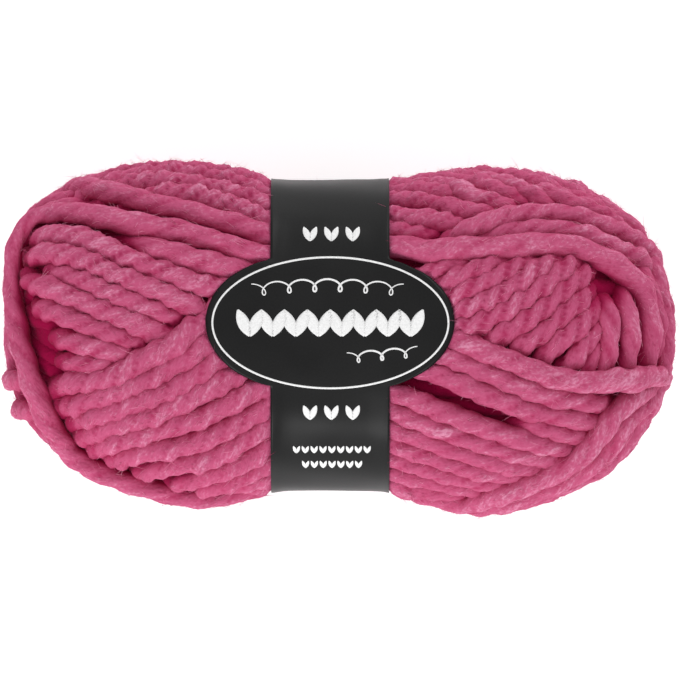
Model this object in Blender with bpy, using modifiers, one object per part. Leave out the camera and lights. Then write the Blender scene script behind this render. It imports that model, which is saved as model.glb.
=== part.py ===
"""A 50 g ball of chunky acrylic yarn with its paper band.

The ball is an oblong wound skein, drawn in at the waist by the band, whose
front widens to an oval plate. It lies on its back, the plate facing up.

Frame: +X along the ball, +Y across it, +Z up, in metres. The origin is on the
surface that the ball rests on, under the middle of its bounding box.
"""

import math

import bmesh
import bpy
import numpy as np

MM = 0.001

# ---------------------------------------------------------------- sizes, in mm

# The wound form, a row for each section across the ball. Between rows every
# column, x included, runs on one smooth curve, which rounds the two ends.
# square is the exponent of the section's outline: 2 is an ellipse.
SECTION_COLUMNS = ("x", "y_low", "y_high", "z_low", "z_high", "square")
SECTIONS = (
    (-73.6, 7.5, 14.0, 27.5, 34.5, 2.0),  # floor of the dimple at the left end
    (-75.0, 2.5, 18.5, 22.0, 40.5, 2.0),
    (-74.3, -10.0, 21.5, 15.5, 46.5, 2.1),
    (-71.7, -18.0, 27.0, 10.5, 51.5, 2.2),
    (-68.0, -22.5, 30.8, 6.6, 55.5, 2.2),
    (-63.0, -27.0, 33.5, 3.4, 59.0, 2.2),
    (-57.0, -31.0, 36.0, 1.2, 61.6, 2.2),
    (-50.0, -34.0, 38.2, 0.0, 63.2, 2.2),
    (-42.0, -36.0, 39.6, -0.9, 64.0, 2.2),
    (-33.0, -37.2, 39.8, -1.0, 64.2, 2.2),
    (-25.0, -37.0, 38.6, -0.4, 63.6, 2.2),
    (-18.0, -35.6, 36.9, 1.2, 62.2, 2.2),
    (-12.0, -34.6, 35.6, 2.6, 60.8, 2.2),
    (-2.2, -34.3, 35.2, 2.8, 60.5, 2.2),
    (8.0, -34.6, 35.2, 2.6, 60.8, 2.2),
    (14.5, -36.0, 36.2, 1.2, 62.2, 2.2),
    (21.5, -38.2, 37.5, -0.4, 63.4, 2.2),
    (29.5, -39.6, 38.3, -1.0, 64.2, 2.2),
    (38.0, -39.4, 38.1, -1.0, 64.0, 2.2),
    (46.0, -37.0, 36.6, 0.0, 62.8, 2.2),
    (53.5, -33.9, 34.2, 1.8, 60.6, 2.2),
    (60.0, -30.2, 30.8, 4.4, 57.2, 2.2),
    (66.0, -24.0, 26.0, 8.6, 52.5, 2.1),
    (70.5, -17.0, 19.6, 13.4, 47.0, 2.1),
    (73.4, -10.0, 11.5, 18.6, 41.5, 2.0),
    (75.0, -4.0, 5.5, 24.0, 37.0, 2.0),
    (73.8, -1.5, 3.2, 27.6, 33.8, 2.0),  # floor of the dimple at the right end
)

# The band: a loop of paper round the waist, wider over the front.
BAND_X = -2.2  # its middle
BAND_HALF_WIDTH = 13.1
BAND_CENTRE_Y, BAND_CENTRE_Z = 0.6, 31.4
BAND_HALF_Y, BAND_HALF_Z = 34.8, 28.6  # its outer face
BAND_SQUARE = 2.25
BAND_THICK = 1.0
PLATE_Y = 3.3  # middle of the oval plate across the ball
PLATE_HALF_X, PLATE_HALF_Y = 27.3, 15.8
FLARE = 2.4  # how far the plate's ends stand out, where they lie on the yarn
FLARE_FROM = 8.0  # distance from the band's middle at which that starts

GAP = 0.3  # least air between the band and the yarn
FACET_ROOM = 0.25  # added to it, because both are faceted
CLEAR_ROUND_BAND = 3.0  # the yarn starts to rise this far outside the band
RISE, RISE_OVER = 6.0, 6.0  # how high it rises, and over what distance

# The main twists: bundles of three or four turns that lie together, each a
# ridge that follows the points (x, turn). turn is the angle round the section
# in degrees: 0 at the +Y side, 90 on top, 180 at the -Y side, 270 underneath.
RIDGE = 3.2  # how far a bundle stands above the hollows between bundles
BUNDLE_COLUMNS = ("name", "half_width", "height", "path")
BUNDLES = (
    # left lobe, on top: the upper bundles fall towards the band
    ("left_crown", 6.5, 1.0, ((-60, 30), (-40, 18), (-14, 18))),
    ("left_upper_outer", 6.0, 1.0, ((-66, 42), (-40, 48), (-14, 60))),
    ("left_upper_mid", 6.0, 0.9, ((-67, 62), (-45, 68), (-20, 84))),
    ("left_upper_inner", 6.0, 0.85, ((-65, 79), (-50, 84), (-34, 95))),
    ("left_upper_low", 4.7, 0.8, ((-61, 94), (-44, 99))),
    # the lower ones rise towards it and lie over the ends of the upper ones
    ("left_lower_high", 6.5, 1.0, ((-61, 108), (-42, 100), (-20, 82))),
    ("left_lower_mid", 6.5, 1.0, ((-57, 121), (-38, 115), (-14, 101))),
    ("left_lower_low", 6.5, 1.0, ((-54, 133), (-36, 130), (-14, 117))),
    ("left_lower_edge", 5.6, 0.9, ((-48, 147), (-14, 136))),
    # one turn that runs round the outside of the left end
    (
        "left_wrap",
        3.6,
        1.3,
        (
            (-60, 38),
            (-69, 40),
            (-73, 52),
            (-73, 78),
            (-70.8, 99),
            (-67.7, 123),
            (-62.8, 142),
            (-53.4, 154),
            (-42.3, 162),
            (-25.6, 172),
            (-14, 176),
        ),
    ),
    # left lobe, underneath
    ("left_back_1", 6.5, 1.0, ((-55, 184), (-14, 190))),
    ("left_back_2", 6.5, 1.0, ((-62, 215), (-14, 208))),
    ("left_back_3", 6.5, 1.0, ((-65, 240), (-14, 228))),
    ("left_back_4", 6.5, 1.0, ((-66, 264), (-14, 248))),
    ("left_back_5", 6.5, 1.0, ((-66, 288), (-14, 268))),
    ("left_back_6", 6.5, 1.0, ((-65, 310), (-14, 290))),
    ("left_back_7", 6.5, 1.0, ((-64, 332), (-14, 315))),
    ("left_back_8", 6.5, 1.0, ((-62, 354), (-14, 342))),
    # right lobe, on top
    ("right_crown", 6.0, 1.0, ((11, 20), (30, 16), (50, 14), (62, 20))),
    ("right_upper_outer", 5.6, 0.9, ((11, 34), (28, 37), (40, 44))),
    ("right_cross", 4.5, 1.1, ((27, 55), (40, 44), (50, 40), (60, 36), (69, 34))),
    ("right_straight", 4.5, 1.1, ((11, 55), (28, 60), (45, 58), (57, 56), (68, 60))),
    ("right_mid_1", 5.0, 0.8, ((21, 79), (38, 66))),
    ("right_mid_2", 5.0, 0.8, ((27, 88), (46, 68))),
    ("right_mid_3", 5.0, 0.8, ((36, 94), (54, 73))),
    ("right_mid_4", 5.0, 0.8, ((47, 98), (61, 80))),
    ("right_end", 5.0, 0.8, ((66, 74), (66, 102))),
    ("right_lower_1", 5.2, 1.1, ((19, 92), (36, 99), (52, 105), (69, 112))),
    ("right_lower_2", 5.0, 0.9, ((16, 102), (36, 110), (56, 124))),
    ("right_lower_3", 5.2, 1.0, ((10, 112), (29, 122), (49, 137))),
    ("right_lower_4", 5.6, 0.9, ((10, 124), (29, 134), (44, 146))),
    ("right_lower_5", 5.6, 0.9, ((10, 140), (29, 150), (42, 158))),
    # the turns that run round the right end over the ends of the lower ones
    (
        "right_wrap",
        6.5,
        1.3,
        ((70, 116), (65, 124), (58, 133), (47, 144), (36, 157), (22, 168), (11, 172)),
    ),
    # right lobe, underneath
    ("right_back_1", 6.5, 1.0, ((11, 192), (52, 180))),
    ("right_back_2", 6.5, 1.0, ((11, 212), (60, 205))),
    ("right_back_3", 6.5, 1.0, ((11, 230), (62, 232))),
    ("right_back_4", 6.5, 1.0, ((11, 248), (63, 256))),
    ("right_back_5", 6.5, 1.0, ((11, 268), (63, 282))),
    ("right_back_6", 6.5, 1.0, ((11, 290), (63, 306))),
    ("right_back_7", 6.5, 1.0, ((11, 314), (62, 330))),
    ("right_back_8", 6.5, 1.0, ((11, 340), (61, 354))),
)

# Mesh densities
ROUND_SKEIN = 72
ROUND_BAND, ACROSS_BAND = 64, 6
STEP_BY_BAND, STEP_ON_LOBE = 3.0, 4.0  # distance between sections

# Looks that a plain view shows: base colour, roughness
YARN_PINK, YARN_ROUGH = (0.55, 0.082, 0.19, 1.0), 0.9
BAND_BLACK, BAND_ROUGH = (0.018, 0.018, 0.019, 1.0), 0.45


# ------------------------------------------------------------------- functions


def smooth(t):
    """0 at 0 and 1 at 1, with level ends."""
    t = np.clip(t, 0.0, 1.0)
    return t * t * (3 - 2 * t)


def sections_at(places):
    """The section columns at fractional row numbers, on a Catmull-Rom curve through the rows."""
    rows = np.array(SECTIONS)
    last = len(rows) - 1
    places = np.clip(places, 0, last)
    i = np.minimum(places.astype(int), last - 1)
    t = (places - i)[:, None]
    before, here = rows[np.maximum(i - 1, 0)], rows[i]
    after, beyond = rows[i + 1], rows[np.minimum(i + 2, last)]
    return 0.5 * (
        2 * here
        + (after - before) * t
        + (2 * before - 5 * here + 4 * after - beyond) * t**2
        + (3 * here - before - 3 * after + beyond) * t**3
    )


def axis_of(section):
    """The point (y, z) that a section's directions start from: the band's own middle near it, and the section's towards the ends."""
    x, y_low, y_high, z_low, z_high = section[:5]
    share = float(smooth((abs(x) - 40.0) / 22.0))
    return (
        BAND_CENTRE_Y * (1 - share) + share * (y_low + y_high) / 2,
        BAND_CENTRE_Z * (1 - share) + share * (z_low + z_high) / 2,
    )


def reach(section, turns):
    """How far the section's outline is from its axis point in each direction."""
    _, y_low, y_high, z_low, z_high, square = section
    y0, z0 = axis_of(section)
    cy, cz = (y_low + y_high) / 2, (z_low + z_high) / 2
    ry, rz = (y_high - y_low) / 2, (z_high - z_low) / 2
    near, far = np.zeros(len(turns)), np.full(len(turns), 120.0)
    for _ in range(40):
        r = (near + far) / 2
        y = np.abs((y0 + r * np.cos(turns) - cy) / ry)
        z = np.abs((z0 + r * np.sin(turns) - cz) / rz)
        inside = y**square + z**square < 1
        near, far = np.where(inside, r, near), np.where(inside, far, r)
    return near


def band_reach(x, turns, half_y=BAND_HALF_Y, half_z=BAND_HALF_Z):
    """The band's outer face, from its middle, with the plate's flared ends."""
    c, s = np.abs(np.cos(turns)), np.abs(np.sin(turns))
    loop = ((c / half_y) ** BAND_SQUARE + (s / half_z) ** BAND_SQUARE) ** (
        -1 / BAND_SQUARE
    )
    out = smooth((np.abs(x - BAND_X) - FLARE_FROM) / (PLATE_HALF_X - FLARE_FROM))
    return loop + FLARE * out


def band_half_width(turns):
    """Half the band's width at each direction round it, with the oval plate on top."""
    y = BAND_CENTRE_Y + band_reach(BAND_X, turns) * np.cos(turns)
    in_plate = 1 - ((y - PLATE_Y) / PLATE_HALF_Y) ** 2
    plate = np.where(
        np.sin(turns) > 0, PLATE_HALF_X * np.sqrt(np.maximum(in_plate, 0)), 0
    )
    return np.maximum(BAND_HALF_WIDTH, plate)


def bundle_ridges(x, turns, radii):
    """How much of the ridge height each place has, from the nearest bundle."""
    most = np.zeros(len(turns))
    for _, half_width, height, path in BUNDLES:
        points = np.array(path, float)
        for (xa, ta), (xb, tb) in zip(points[:-1], points[1:]):
            if not min(xa, xb) - 12 < x < max(xa, xb) + 12:
                continue
            # distance from the bundle's line on the unrolled surface
            across = (
                (np.degrees(turns) - ta + 180) % 360 - 180
            ) * math.pi / 180 * radii
            along = np.full(len(turns), x - xa)
            dx, dt = xb - xa, (tb - ta) * math.pi / 180 * radii
            share = np.clip(
                (along * dx + across * dt) / np.maximum(dx * dx + dt * dt, 1e-9), 0, 1
            )
            away = np.hypot(along - share * dx, across - share * dt)
            bump = np.sqrt(np.maximum(0, 1 - (away / half_width) ** 2))
            most = np.maximum(most, height * bump)
    return most


def skein_ring(section):
    """One ring of the yarn's outer surface, in mm."""
    turns = np.linspace(0, 2 * math.pi, ROUND_SKEIN, endpoint=False)
    x = section[0]
    y0, z0 = axis_of(section)
    free = reach(section, turns)
    # ridges fade out at the very ends, where every turn runs into the dimple
    fade = float(smooth((75.5 - abs(x)) / 6.0))
    ridges = bundle_ridges(x, turns, free)
    radii = free + RIDGE * fade * (ridges - 1)
    if abs(x - BAND_X) < PLATE_HALF_X + CLEAR_ROUND_BAND + RISE_OVER:
        inner = band_reach(x, turns) - BAND_THICK - GAP - FACET_ROOM
        outside = np.abs(x - BAND_X) - band_half_width(turns) - CLEAR_ROUND_BAND
        # beside the plate's upper and lower edges the distance runs round the section
        nearest = outside.copy()
        widths = band_half_width(turns)
        for shift in (-3, -2, -1, 1, 2, 3):
            step = abs(shift) * 2 * math.pi / ROUND_SKEIN * free
            nearest = np.minimum(
                nearest,
                np.hypot(
                    np.maximum(
                        np.abs(x - BAND_X) - np.roll(widths, shift), 0
                    ),
                    step,
                )
                - CLEAR_ROUND_BAND,
            )
        rise = RISE * smooth(nearest / RISE_OVER) + 8 * smooth(
            (nearest - RISE_OVER) / 4
        )
        radii = np.minimum(radii, inner + rise)
    ring = np.empty((ROUND_SKEIN, 3))
    ring[:, 0] = x
    ring[:, 1] = y0 + radii * np.cos(turns)
    ring[:, 2] = z0 + radii * np.sin(turns)
    return ring


def section_places():
    """Fractional row numbers of the mesh's rings: close together by the band, wider apart on the lobes."""
    fine = np.linspace(0, len(SECTIONS) - 1, 4001)
    rows = sections_at(fine)
    size = rows[:, 2] - rows[:, 1]
    away = np.abs(rows[:, 0] - BAND_X)
    step = np.where(away < PLATE_HALF_X + 6, STEP_BY_BAND, STEP_ON_LOBE)
    walked = np.concatenate(
        [
            [0],
            np.cumsum(
                np.hypot(np.diff(rows[:, 0]), np.diff(size) / 2)
                / ((step[1:] + step[:-1]) / 2)
            ),
        ]
    )
    count = int(round(walked[-1]))
    return np.interp(np.linspace(0, walked[-1], count + 1), walked, fine)


def material(name, colour, roughness):
    made = bpy.data.materials.new(name)
    made.use_nodes = True
    shader = made.node_tree.nodes["Principled BSDF"]
    shader.inputs["Base Color"].default_value = colour
    shader.inputs["Roughness"].default_value = roughness
    shader.inputs["Metallic"].default_value = 0.0
    made.diffuse_color = colour
    return made


def mesh_object(name, points, faces, collection, mat=None):
    mesh = bpy.data.meshes.new(name)
    mesh.from_pydata([tuple(p) for p in np.asarray(points) * MM], [], faces)
    mesh.validate()
    bm = bmesh.new()
    bm.from_mesh(mesh)
    bmesh.ops.recalc_face_normals(bm, faces=bm.faces)
    bm.to_mesh(mesh)
    bm.free()
    mesh.shade_smooth()
    made = bpy.data.objects.new(name, mesh)
    collection.objects.link(made)
    if mat:
        mesh.materials.append(mat)
    return made


def loft(rings):
    """Faces of a closed loft through rings of equal count, with its two ends capped."""
    n = len(rings[0])
    faces = []
    for i in range(len(rings) - 1):
        for j in range(n):
            k = (j + 1) % n
            faces.append((i * n + j, i * n + k, (i + 1) * n + k, (i + 1) * n + j))
    faces.append(tuple(range(n)))
    faces.append(tuple((len(rings) - 1) * n + j for j in reversed(range(n))))
    return np.concatenate(rings), faces


def box(name, low, high, collection):
    bpy.ops.mesh.primitive_cube_add(size=1)
    made = bpy.context.active_object
    made.name = name
    low, high = np.array(low) * MM, np.array(high) * MM
    for vertex in made.data.vertices:
        vertex.co = [
            lo if c < 0 else hi for c, lo, hi in zip(vertex.co, low, high)
        ]
    for other in list(made.users_collection):
        other.objects.unlink(made)
    collection.objects.link(made)
    made.hide_render = True
    made.display_type = "WIRE"
    return made


def build_skein(parts, cutters):
    rings = [skein_ring(row) for row in sections_at(section_places())]
    points, faces = loft(rings)
    skein = mesh_object(
        "skein", points, faces, parts, material("yarn", YARN_PINK, YARN_ROUGH)
    )
    # what would lie below the resting surface is cut off, a flat spot under each lobe
    floor = box("floor_cutter", (-90, -60, -20), (90, 60, 0), cutters)
    cut = skein.modifiers.new("flat_spots", "BOOLEAN")
    cut.operation = "DIFFERENCE"
    cut.solver = "EXACT"
    cut.object = floor
    return skein


def build_band(parts):
    """The band's inner face as one open strip, closed round the waist, thickened outwards."""
    turns = np.linspace(0, 2 * math.pi, ROUND_BAND, endpoint=False)
    half = band_half_width(turns)
    points, faces = [], []
    for i, turn in enumerate(turns):
        for j in range(ACROSS_BAND + 1):
            x = BAND_X + half[i] * (2 * j / ACROSS_BAND - 1)
            r = float(band_reach(x, np.array([turn]))[0]) - BAND_THICK
            points.append(
                (
                    x,
                    BAND_CENTRE_Y + r * math.cos(turn),
                    BAND_CENTRE_Z + r * math.sin(turn),
                )
            )
    n = ACROSS_BAND + 1
    for i in range(ROUND_BAND):
        k = (i + 1) % ROUND_BAND
        for j in range(ACROSS_BAND):
            faces.append((i * n + j, k * n + j, k * n + j + 1, i * n + j + 1))
    band = mesh_object(
        "ball_band", points, faces, parts, material("paper", BAND_BLACK, BAND_ROUGH)
    )
    # faces must look away from the yarn for the thickness to go outwards
    middle = np.array([BAND_X, BAND_CENTRE_Y, BAND_CENTRE_Z]) * MM
    face = band.data.polygons[0]
    outward = np.dot(np.array(face.normal), np.array(face.center) - middle) > 0
    if not outward:
        band.data.flip_normals()
    thick = band.modifiers.new("paper_thickness", "SOLIDIFY")
    thick.thickness = BAND_THICK * MM
    thick.offset = 1.0
    thick.use_even_offset = True
    return band


def main():
    for old in list(bpy.data.objects):
        bpy.data.objects.remove(old)
    parts = bpy.data.collections.new("acrylic_yarn")
    cutters = bpy.data.collections.new("cutters")
    bpy.context.scene.collection.children.link(parts)
    bpy.context.scene.collection.children.link(cutters)
    cutters.hide_render = True
    build_skein(parts, cutters)
    build_band(parts)


main()
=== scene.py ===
"""Looks of a ball of chunky acrylic yarn with its paper band.

Every visible turn of yarn is a plied strand of its own, laid on the wound form
of the CAD skein. Turns are told as short paths on that form, then settled
against each other, and made into closed, twisted, three-ply tubes.
"""

import math

import bpy
import numpy as np
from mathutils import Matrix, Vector, kdtree, noise
from mathutils.bvhtree import BVHTree


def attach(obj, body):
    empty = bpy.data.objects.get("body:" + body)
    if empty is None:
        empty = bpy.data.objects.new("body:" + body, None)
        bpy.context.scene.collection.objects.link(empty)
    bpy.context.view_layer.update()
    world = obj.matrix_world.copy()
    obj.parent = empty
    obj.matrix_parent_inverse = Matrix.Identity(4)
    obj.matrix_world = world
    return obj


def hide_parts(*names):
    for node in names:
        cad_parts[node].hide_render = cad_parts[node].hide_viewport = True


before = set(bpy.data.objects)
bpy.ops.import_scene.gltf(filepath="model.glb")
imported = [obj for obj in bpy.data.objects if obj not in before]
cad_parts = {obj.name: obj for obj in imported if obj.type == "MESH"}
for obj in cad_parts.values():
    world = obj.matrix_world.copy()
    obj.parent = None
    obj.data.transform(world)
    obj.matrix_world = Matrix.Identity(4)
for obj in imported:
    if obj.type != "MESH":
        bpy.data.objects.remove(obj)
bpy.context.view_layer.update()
RNG = np.random.default_rng(35)
MM = 0.001

# ------------------------------------------------------------ the wound form
# Sections of the skein, in mm, as in the CAD part: x, y low and high, z low and
# high, and the exponent of the outline.
SECTIONS = (
    (-73.6, 7.5, 14.0, 27.5, 34.5, 2.0),
    (-75.0, 2.5, 18.5, 22.0, 40.5, 2.0),
    (-74.3, -10.0, 21.5, 15.5, 46.5, 2.1),
    (-71.7, -18.0, 27.0, 10.5, 51.5, 2.2),
    (-68.0, -22.5, 30.8, 6.6, 55.5, 2.2),
    (-63.0, -27.0, 33.5, 3.4, 59.0, 2.2),
    (-57.0, -31.0, 36.0, 1.2, 61.6, 2.2),
    (-50.0, -34.0, 38.2, 0.0, 63.2, 2.2),
    (-42.0, -36.0, 39.6, -0.9, 64.0, 2.2),
    (-33.0, -37.2, 39.8, -1.0, 64.2, 2.2),
    (-25.0, -37.0, 38.6, -0.4, 63.6, 2.2),
    (-18.0, -35.6, 36.9, 1.2, 62.2, 2.2),
    (-12.0, -34.6, 35.6, 2.6, 60.8, 2.2),
    (-2.2, -34.3, 35.2, 2.8, 60.5, 2.2),
    (8.0, -34.6, 35.2, 2.6, 60.8, 2.2),
    (14.5, -36.0, 36.2, 1.2, 62.2, 2.2),
    (21.5, -38.2, 37.5, -0.4, 63.4, 2.2),
    (29.5, -39.6, 38.3, -1.0, 64.2, 2.2),
    (38.0, -39.4, 38.1, -1.0, 64.0, 2.2),
    (46.0, -37.0, 36.6, 0.0, 62.8, 2.2),
    (53.5, -33.9, 34.2, 1.8, 60.6, 2.2),
    (60.0, -30.2, 30.8, 4.4, 57.2, 2.2),
    (66.0, -24.0, 26.0, 8.6, 52.5, 2.1),
    (70.5, -17.0, 19.6, 13.4, 47.0, 2.1),
    (73.4, -10.0, 11.5, 18.6, 41.5, 2.0),
    (75.0, -4.0, 5.5, 24.0, 37.0, 2.0),
    (73.8, -1.5, 3.2, 27.6, 33.8, 2.0),
)
BAND_X = -2.2
BAND_HALF_WIDTH = 13.1
BAND_CENTRE_Y, BAND_CENTRE_Z = 0.6, 31.4
BAND_HALF_Y, BAND_HALF_Z = 34.8, 28.6
BAND_SQUARE = 2.25
PLATE_Y = 3.3
PLATE_HALF_X, PLATE_HALF_Y = 27.3, 15.8
FLARE, FLARE_FROM = 2.4, 8.0

PAPER = 0.35  # thickness of the band's paper
STRAND = 2.6  # usual radius of a strand, and depth of its centreline
CORE_DEPTH = 3.3  # how far the inner body lies below the centrelines
RING_STEP = 1.05  # distance between the rings of a strand's tube
SIDES = 22  # corners round a strand
PLIES = 3


def smooth(t):
    t = np.clip(t, 0.0, 1.0)
    return t * t * (3 - 2 * t)


def sections_at(places):
    rows = np.array(SECTIONS)
    last = len(rows) - 1
    places = np.clip(places, 0, last)
    i = np.minimum(places.astype(int), last - 1)
    t = (places - i)[:, None]
    before, here = rows[np.maximum(i - 1, 0)], rows[i]
    after, beyond = rows[i + 1], rows[np.minimum(i + 2, last)]
    return 0.5 * (
        2 * here
        + (after - before) * t
        + (2 * before - 5 * here + 4 * after - beyond) * t**2
        + (3 * here - before - 3 * after + beyond) * t**3
    )


def axis_of(section):
    x, y_low, y_high, z_low, z_high = section[:5]
    share = float(smooth((abs(x) - 40.0) / 22.0))
    return (
        BAND_CENTRE_Y * (1 - share) + share * (y_low + y_high) / 2,
        BAND_CENTRE_Z * (1 - share) + share * (z_low + z_high) / 2,
    )


def reach(section, turns):
    _, y_low, y_high, z_low, z_high, square = section
    y0, z0 = axis_of(section)
    cy, cz = (y_low + y_high) / 2, (z_low + z_high) / 2
    ry, rz = (y_high - y_low) / 2, (z_high - z_low) / 2
    near, far = np.zeros(len(turns)), np.full(len(turns), 120.0)
    for _ in range(34):
        r = (near + far) / 2
        y = np.abs((y0 + r * np.cos(turns) - cy) / ry)
        z = np.abs((z0 + r * np.sin(turns) - cz) / rz)
        inside = y**square + z**square < 1
        near, far = np.where(inside, r, near), np.where(inside, far, r)
    return near


def band_reach(x, turns):
    c, s = np.abs(np.cos(turns)), np.abs(np.sin(turns))
    loop = ((c / BAND_HALF_Y) ** BAND_SQUARE + (s / BAND_HALF_Z) ** BAND_SQUARE) ** (
        -1 / BAND_SQUARE
    )
    out = smooth((np.abs(x - BAND_X) - FLARE_FROM) / (PLATE_HALF_X - FLARE_FROM))
    return loop + FLARE * out


def band_half_width(turns):
    y = BAND_CENTRE_Y + band_reach(BAND_X, turns) * np.cos(turns)
    in_plate = 1 - ((y - PLATE_Y) / PLATE_HALF_Y) ** 2
    plate = np.where(
        np.sin(turns) > 0, PLATE_HALF_X * np.sqrt(np.maximum(in_plate, 0)), 0
    )
    return np.maximum(BAND_HALF_WIDTH, plate)


ROUND = 96


def form_grid():
    """The yarn's outer surface as a grid of rings, in mm."""
    fine = np.linspace(0, len(SECTIONS) - 1, 4001)
    rows = sections_at(fine)
    size = rows[:, 2] - rows[:, 1]
    walked = np.concatenate(
        [[0], np.cumsum(np.hypot(np.diff(rows[:, 0]), np.diff(size) / 2) / 1.6)]
    )
    places = np.interp(
        np.linspace(0, walked[-1], int(round(walked[-1])) + 1), walked, fine
    )
    turns = np.linspace(0, 2 * math.pi, ROUND, endpoint=False)
    widths = band_half_width(turns)
    grid = []
    for section in sections_at(places):
        x = section[0]
        y0, z0 = axis_of(section)
        radii = reach(section, turns)
        if abs(x - BAND_X) < PLATE_HALF_X + 12:
            inner = band_reach(x, turns) - PAPER - 0.05
            nearest = np.abs(x - BAND_X) - widths
            for shift in range(-4, 5):
                step = abs(shift) * 2 * math.pi / ROUND * radii
                nearest = np.minimum(
                    nearest,
                    np.hypot(
                        np.maximum(np.abs(x - BAND_X) - np.roll(widths, shift), 0), step
                    ),
                )
            nearest = nearest - 0.4
            rise = 5.0 * smooth(nearest / 6.5) + 8 * smooth((nearest - 5.5) / 4)
            radii = np.minimum(radii, inner + rise)
        ring = np.empty((ROUND, 3))
        ring[:, 0] = x
        ring[:, 1] = y0 + radii * np.cos(turns)
        ring[:, 2] = z0 + radii * np.sin(turns)
        grid.append(ring)
    return np.array(grid)


def grid_normals(grid):
    along = np.gradient(grid, axis=0)
    around = np.roll(grid, -1, axis=1) - np.roll(grid, 1, axis=1)
    n = np.cross(around, along)
    # the two end rings point along the ball
    n /= np.maximum(np.linalg.norm(n, axis=2, keepdims=True), 1e-9)
    middle = grid.mean(axis=1, keepdims=True)
    sign = np.sign(np.sum((grid - middle) * n, axis=2).mean())
    return n * sign


def blur(grid, times):
    """Softens a grid of rings a little, along and around."""
    for _ in range(times):
        inner = grid.copy()
        inner[1:-1] = 0.5 * grid[1:-1] + 0.25 * (grid[:-2] + grid[2:])
        grid = 0.5 * inner + 0.25 * (
            np.roll(inner, 1, axis=1) + np.roll(inner, -1, axis=1)
        )
    return grid


def grid_faces(count, n):
    faces = []
    for i in range(count - 1):
        for j in range(n):
            k = (j + 1) % n
            faces.append((i * n + j, (i + 1) * n + j, (i + 1) * n + k, i * n + k))
    faces.append(tuple(reversed(range(n))))
    faces.append(tuple((count - 1) * n + j for j in range(n)))
    return faces


OUTER = form_grid()
NORMALS = grid_normals(OUTER)
LINE_GRID = blur(OUTER - NORMALS * STRAND, 2)  # where the centrelines of strands run
CORE_GRID = blur(OUTER - NORMALS * (STRAND + CORE_DEPTH), 4)


def tree_of(grid):
    count, n = grid.shape[:2]
    points = [tuple(p) for p in grid.reshape(-1, 3)]
    faces = []
    for i in range(count - 1):
        for j in range(n):
            k = (j + 1) % n
            a, b, c, d = i * n + j, (i + 1) * n + j, (i + 1) * n + k, i * n + k
            faces += [(a, b, c), (a, c, d)]
    ends = len(points)
    points += [tuple(grid[0].mean(axis=0)), tuple(grid[-1].mean(axis=0))]
    for j in range(n):
        k = (j + 1) % n
        faces.append((ends, j, k))
        faces.append((ends + 1, (count - 1) * n + k, (count - 1) * n + j))
    return BVHTree.FromPolygons(points, faces)


LINES = tree_of(LINE_GRID)
MIDDLE = np.array([0.0, BAND_CENTRE_Y, BAND_CENTRE_Z])


def outward(point, normal):
    """The normal, turned away from the inside of the ball."""
    x = max(-42.0, min(42.0, point[0]))
    inside = np.array([x, BAND_CENTRE_Y, BAND_CENTRE_Z])
    return normal if np.dot(point - inside, normal) > 0 else -normal


def nearest(point):
    hit, normal, _, _ = LINES.find_nearest(Vector(point))
    hit, normal = np.array(hit), np.array(normal)
    return hit, outward(hit, normal)


def cast(start, direction):
    hit, normal, _, _ = LINES.ray_cast(Vector(start), Vector(direction))
    if hit is None:
        return None
    hit, normal = np.array(hit), np.array(normal)
    return hit, outward(hit, normal)


def place(kind, a, b, h, side):
    """A point of a path, and its height above the usual depth. f: seen from the front at (x, y). e: seen from the ball's end at (y, z). t: at x, in direction turn round the ball. h is the height. p: the point (x, y, z) itself."""
    if kind == "p":
        point = np.array([a, b, h], float)
        spot, normal = nearest(point)
        return point, float(np.dot(point - spot, normal))
    if kind == "f":
        aim = np.array([a, b], float)
        at = aim.copy()
        for _ in range(4):
            found = cast((at[0], at[1], 200.0), (0, 0, -1)) or nearest(
                (at[0], at[1], 33.0)
            )
            point = found[0] + found[1] * h
            at = at + (aim - point[:2]) * 0.8
        return point, h
    if kind == "e":
        found = cast((side * 200.0, a, b), (-side, 0, 0)) or nearest(
            (side * 70.0, a, b)
        )
        return found[0] + found[1] * h, h
    turn = math.radians(b)
    found = cast((a, BAND_CENTRE_Y, BAND_CENTRE_Z), (0, math.cos(turn), math.sin(turn)))
    if found is None:
        found = nearest((a, BAND_CENTRE_Y + 20 * math.cos(turn), BAND_CENTRE_Z + 20 * math.sin(turn)))
    return found[0] + found[1] * h, h


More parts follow.
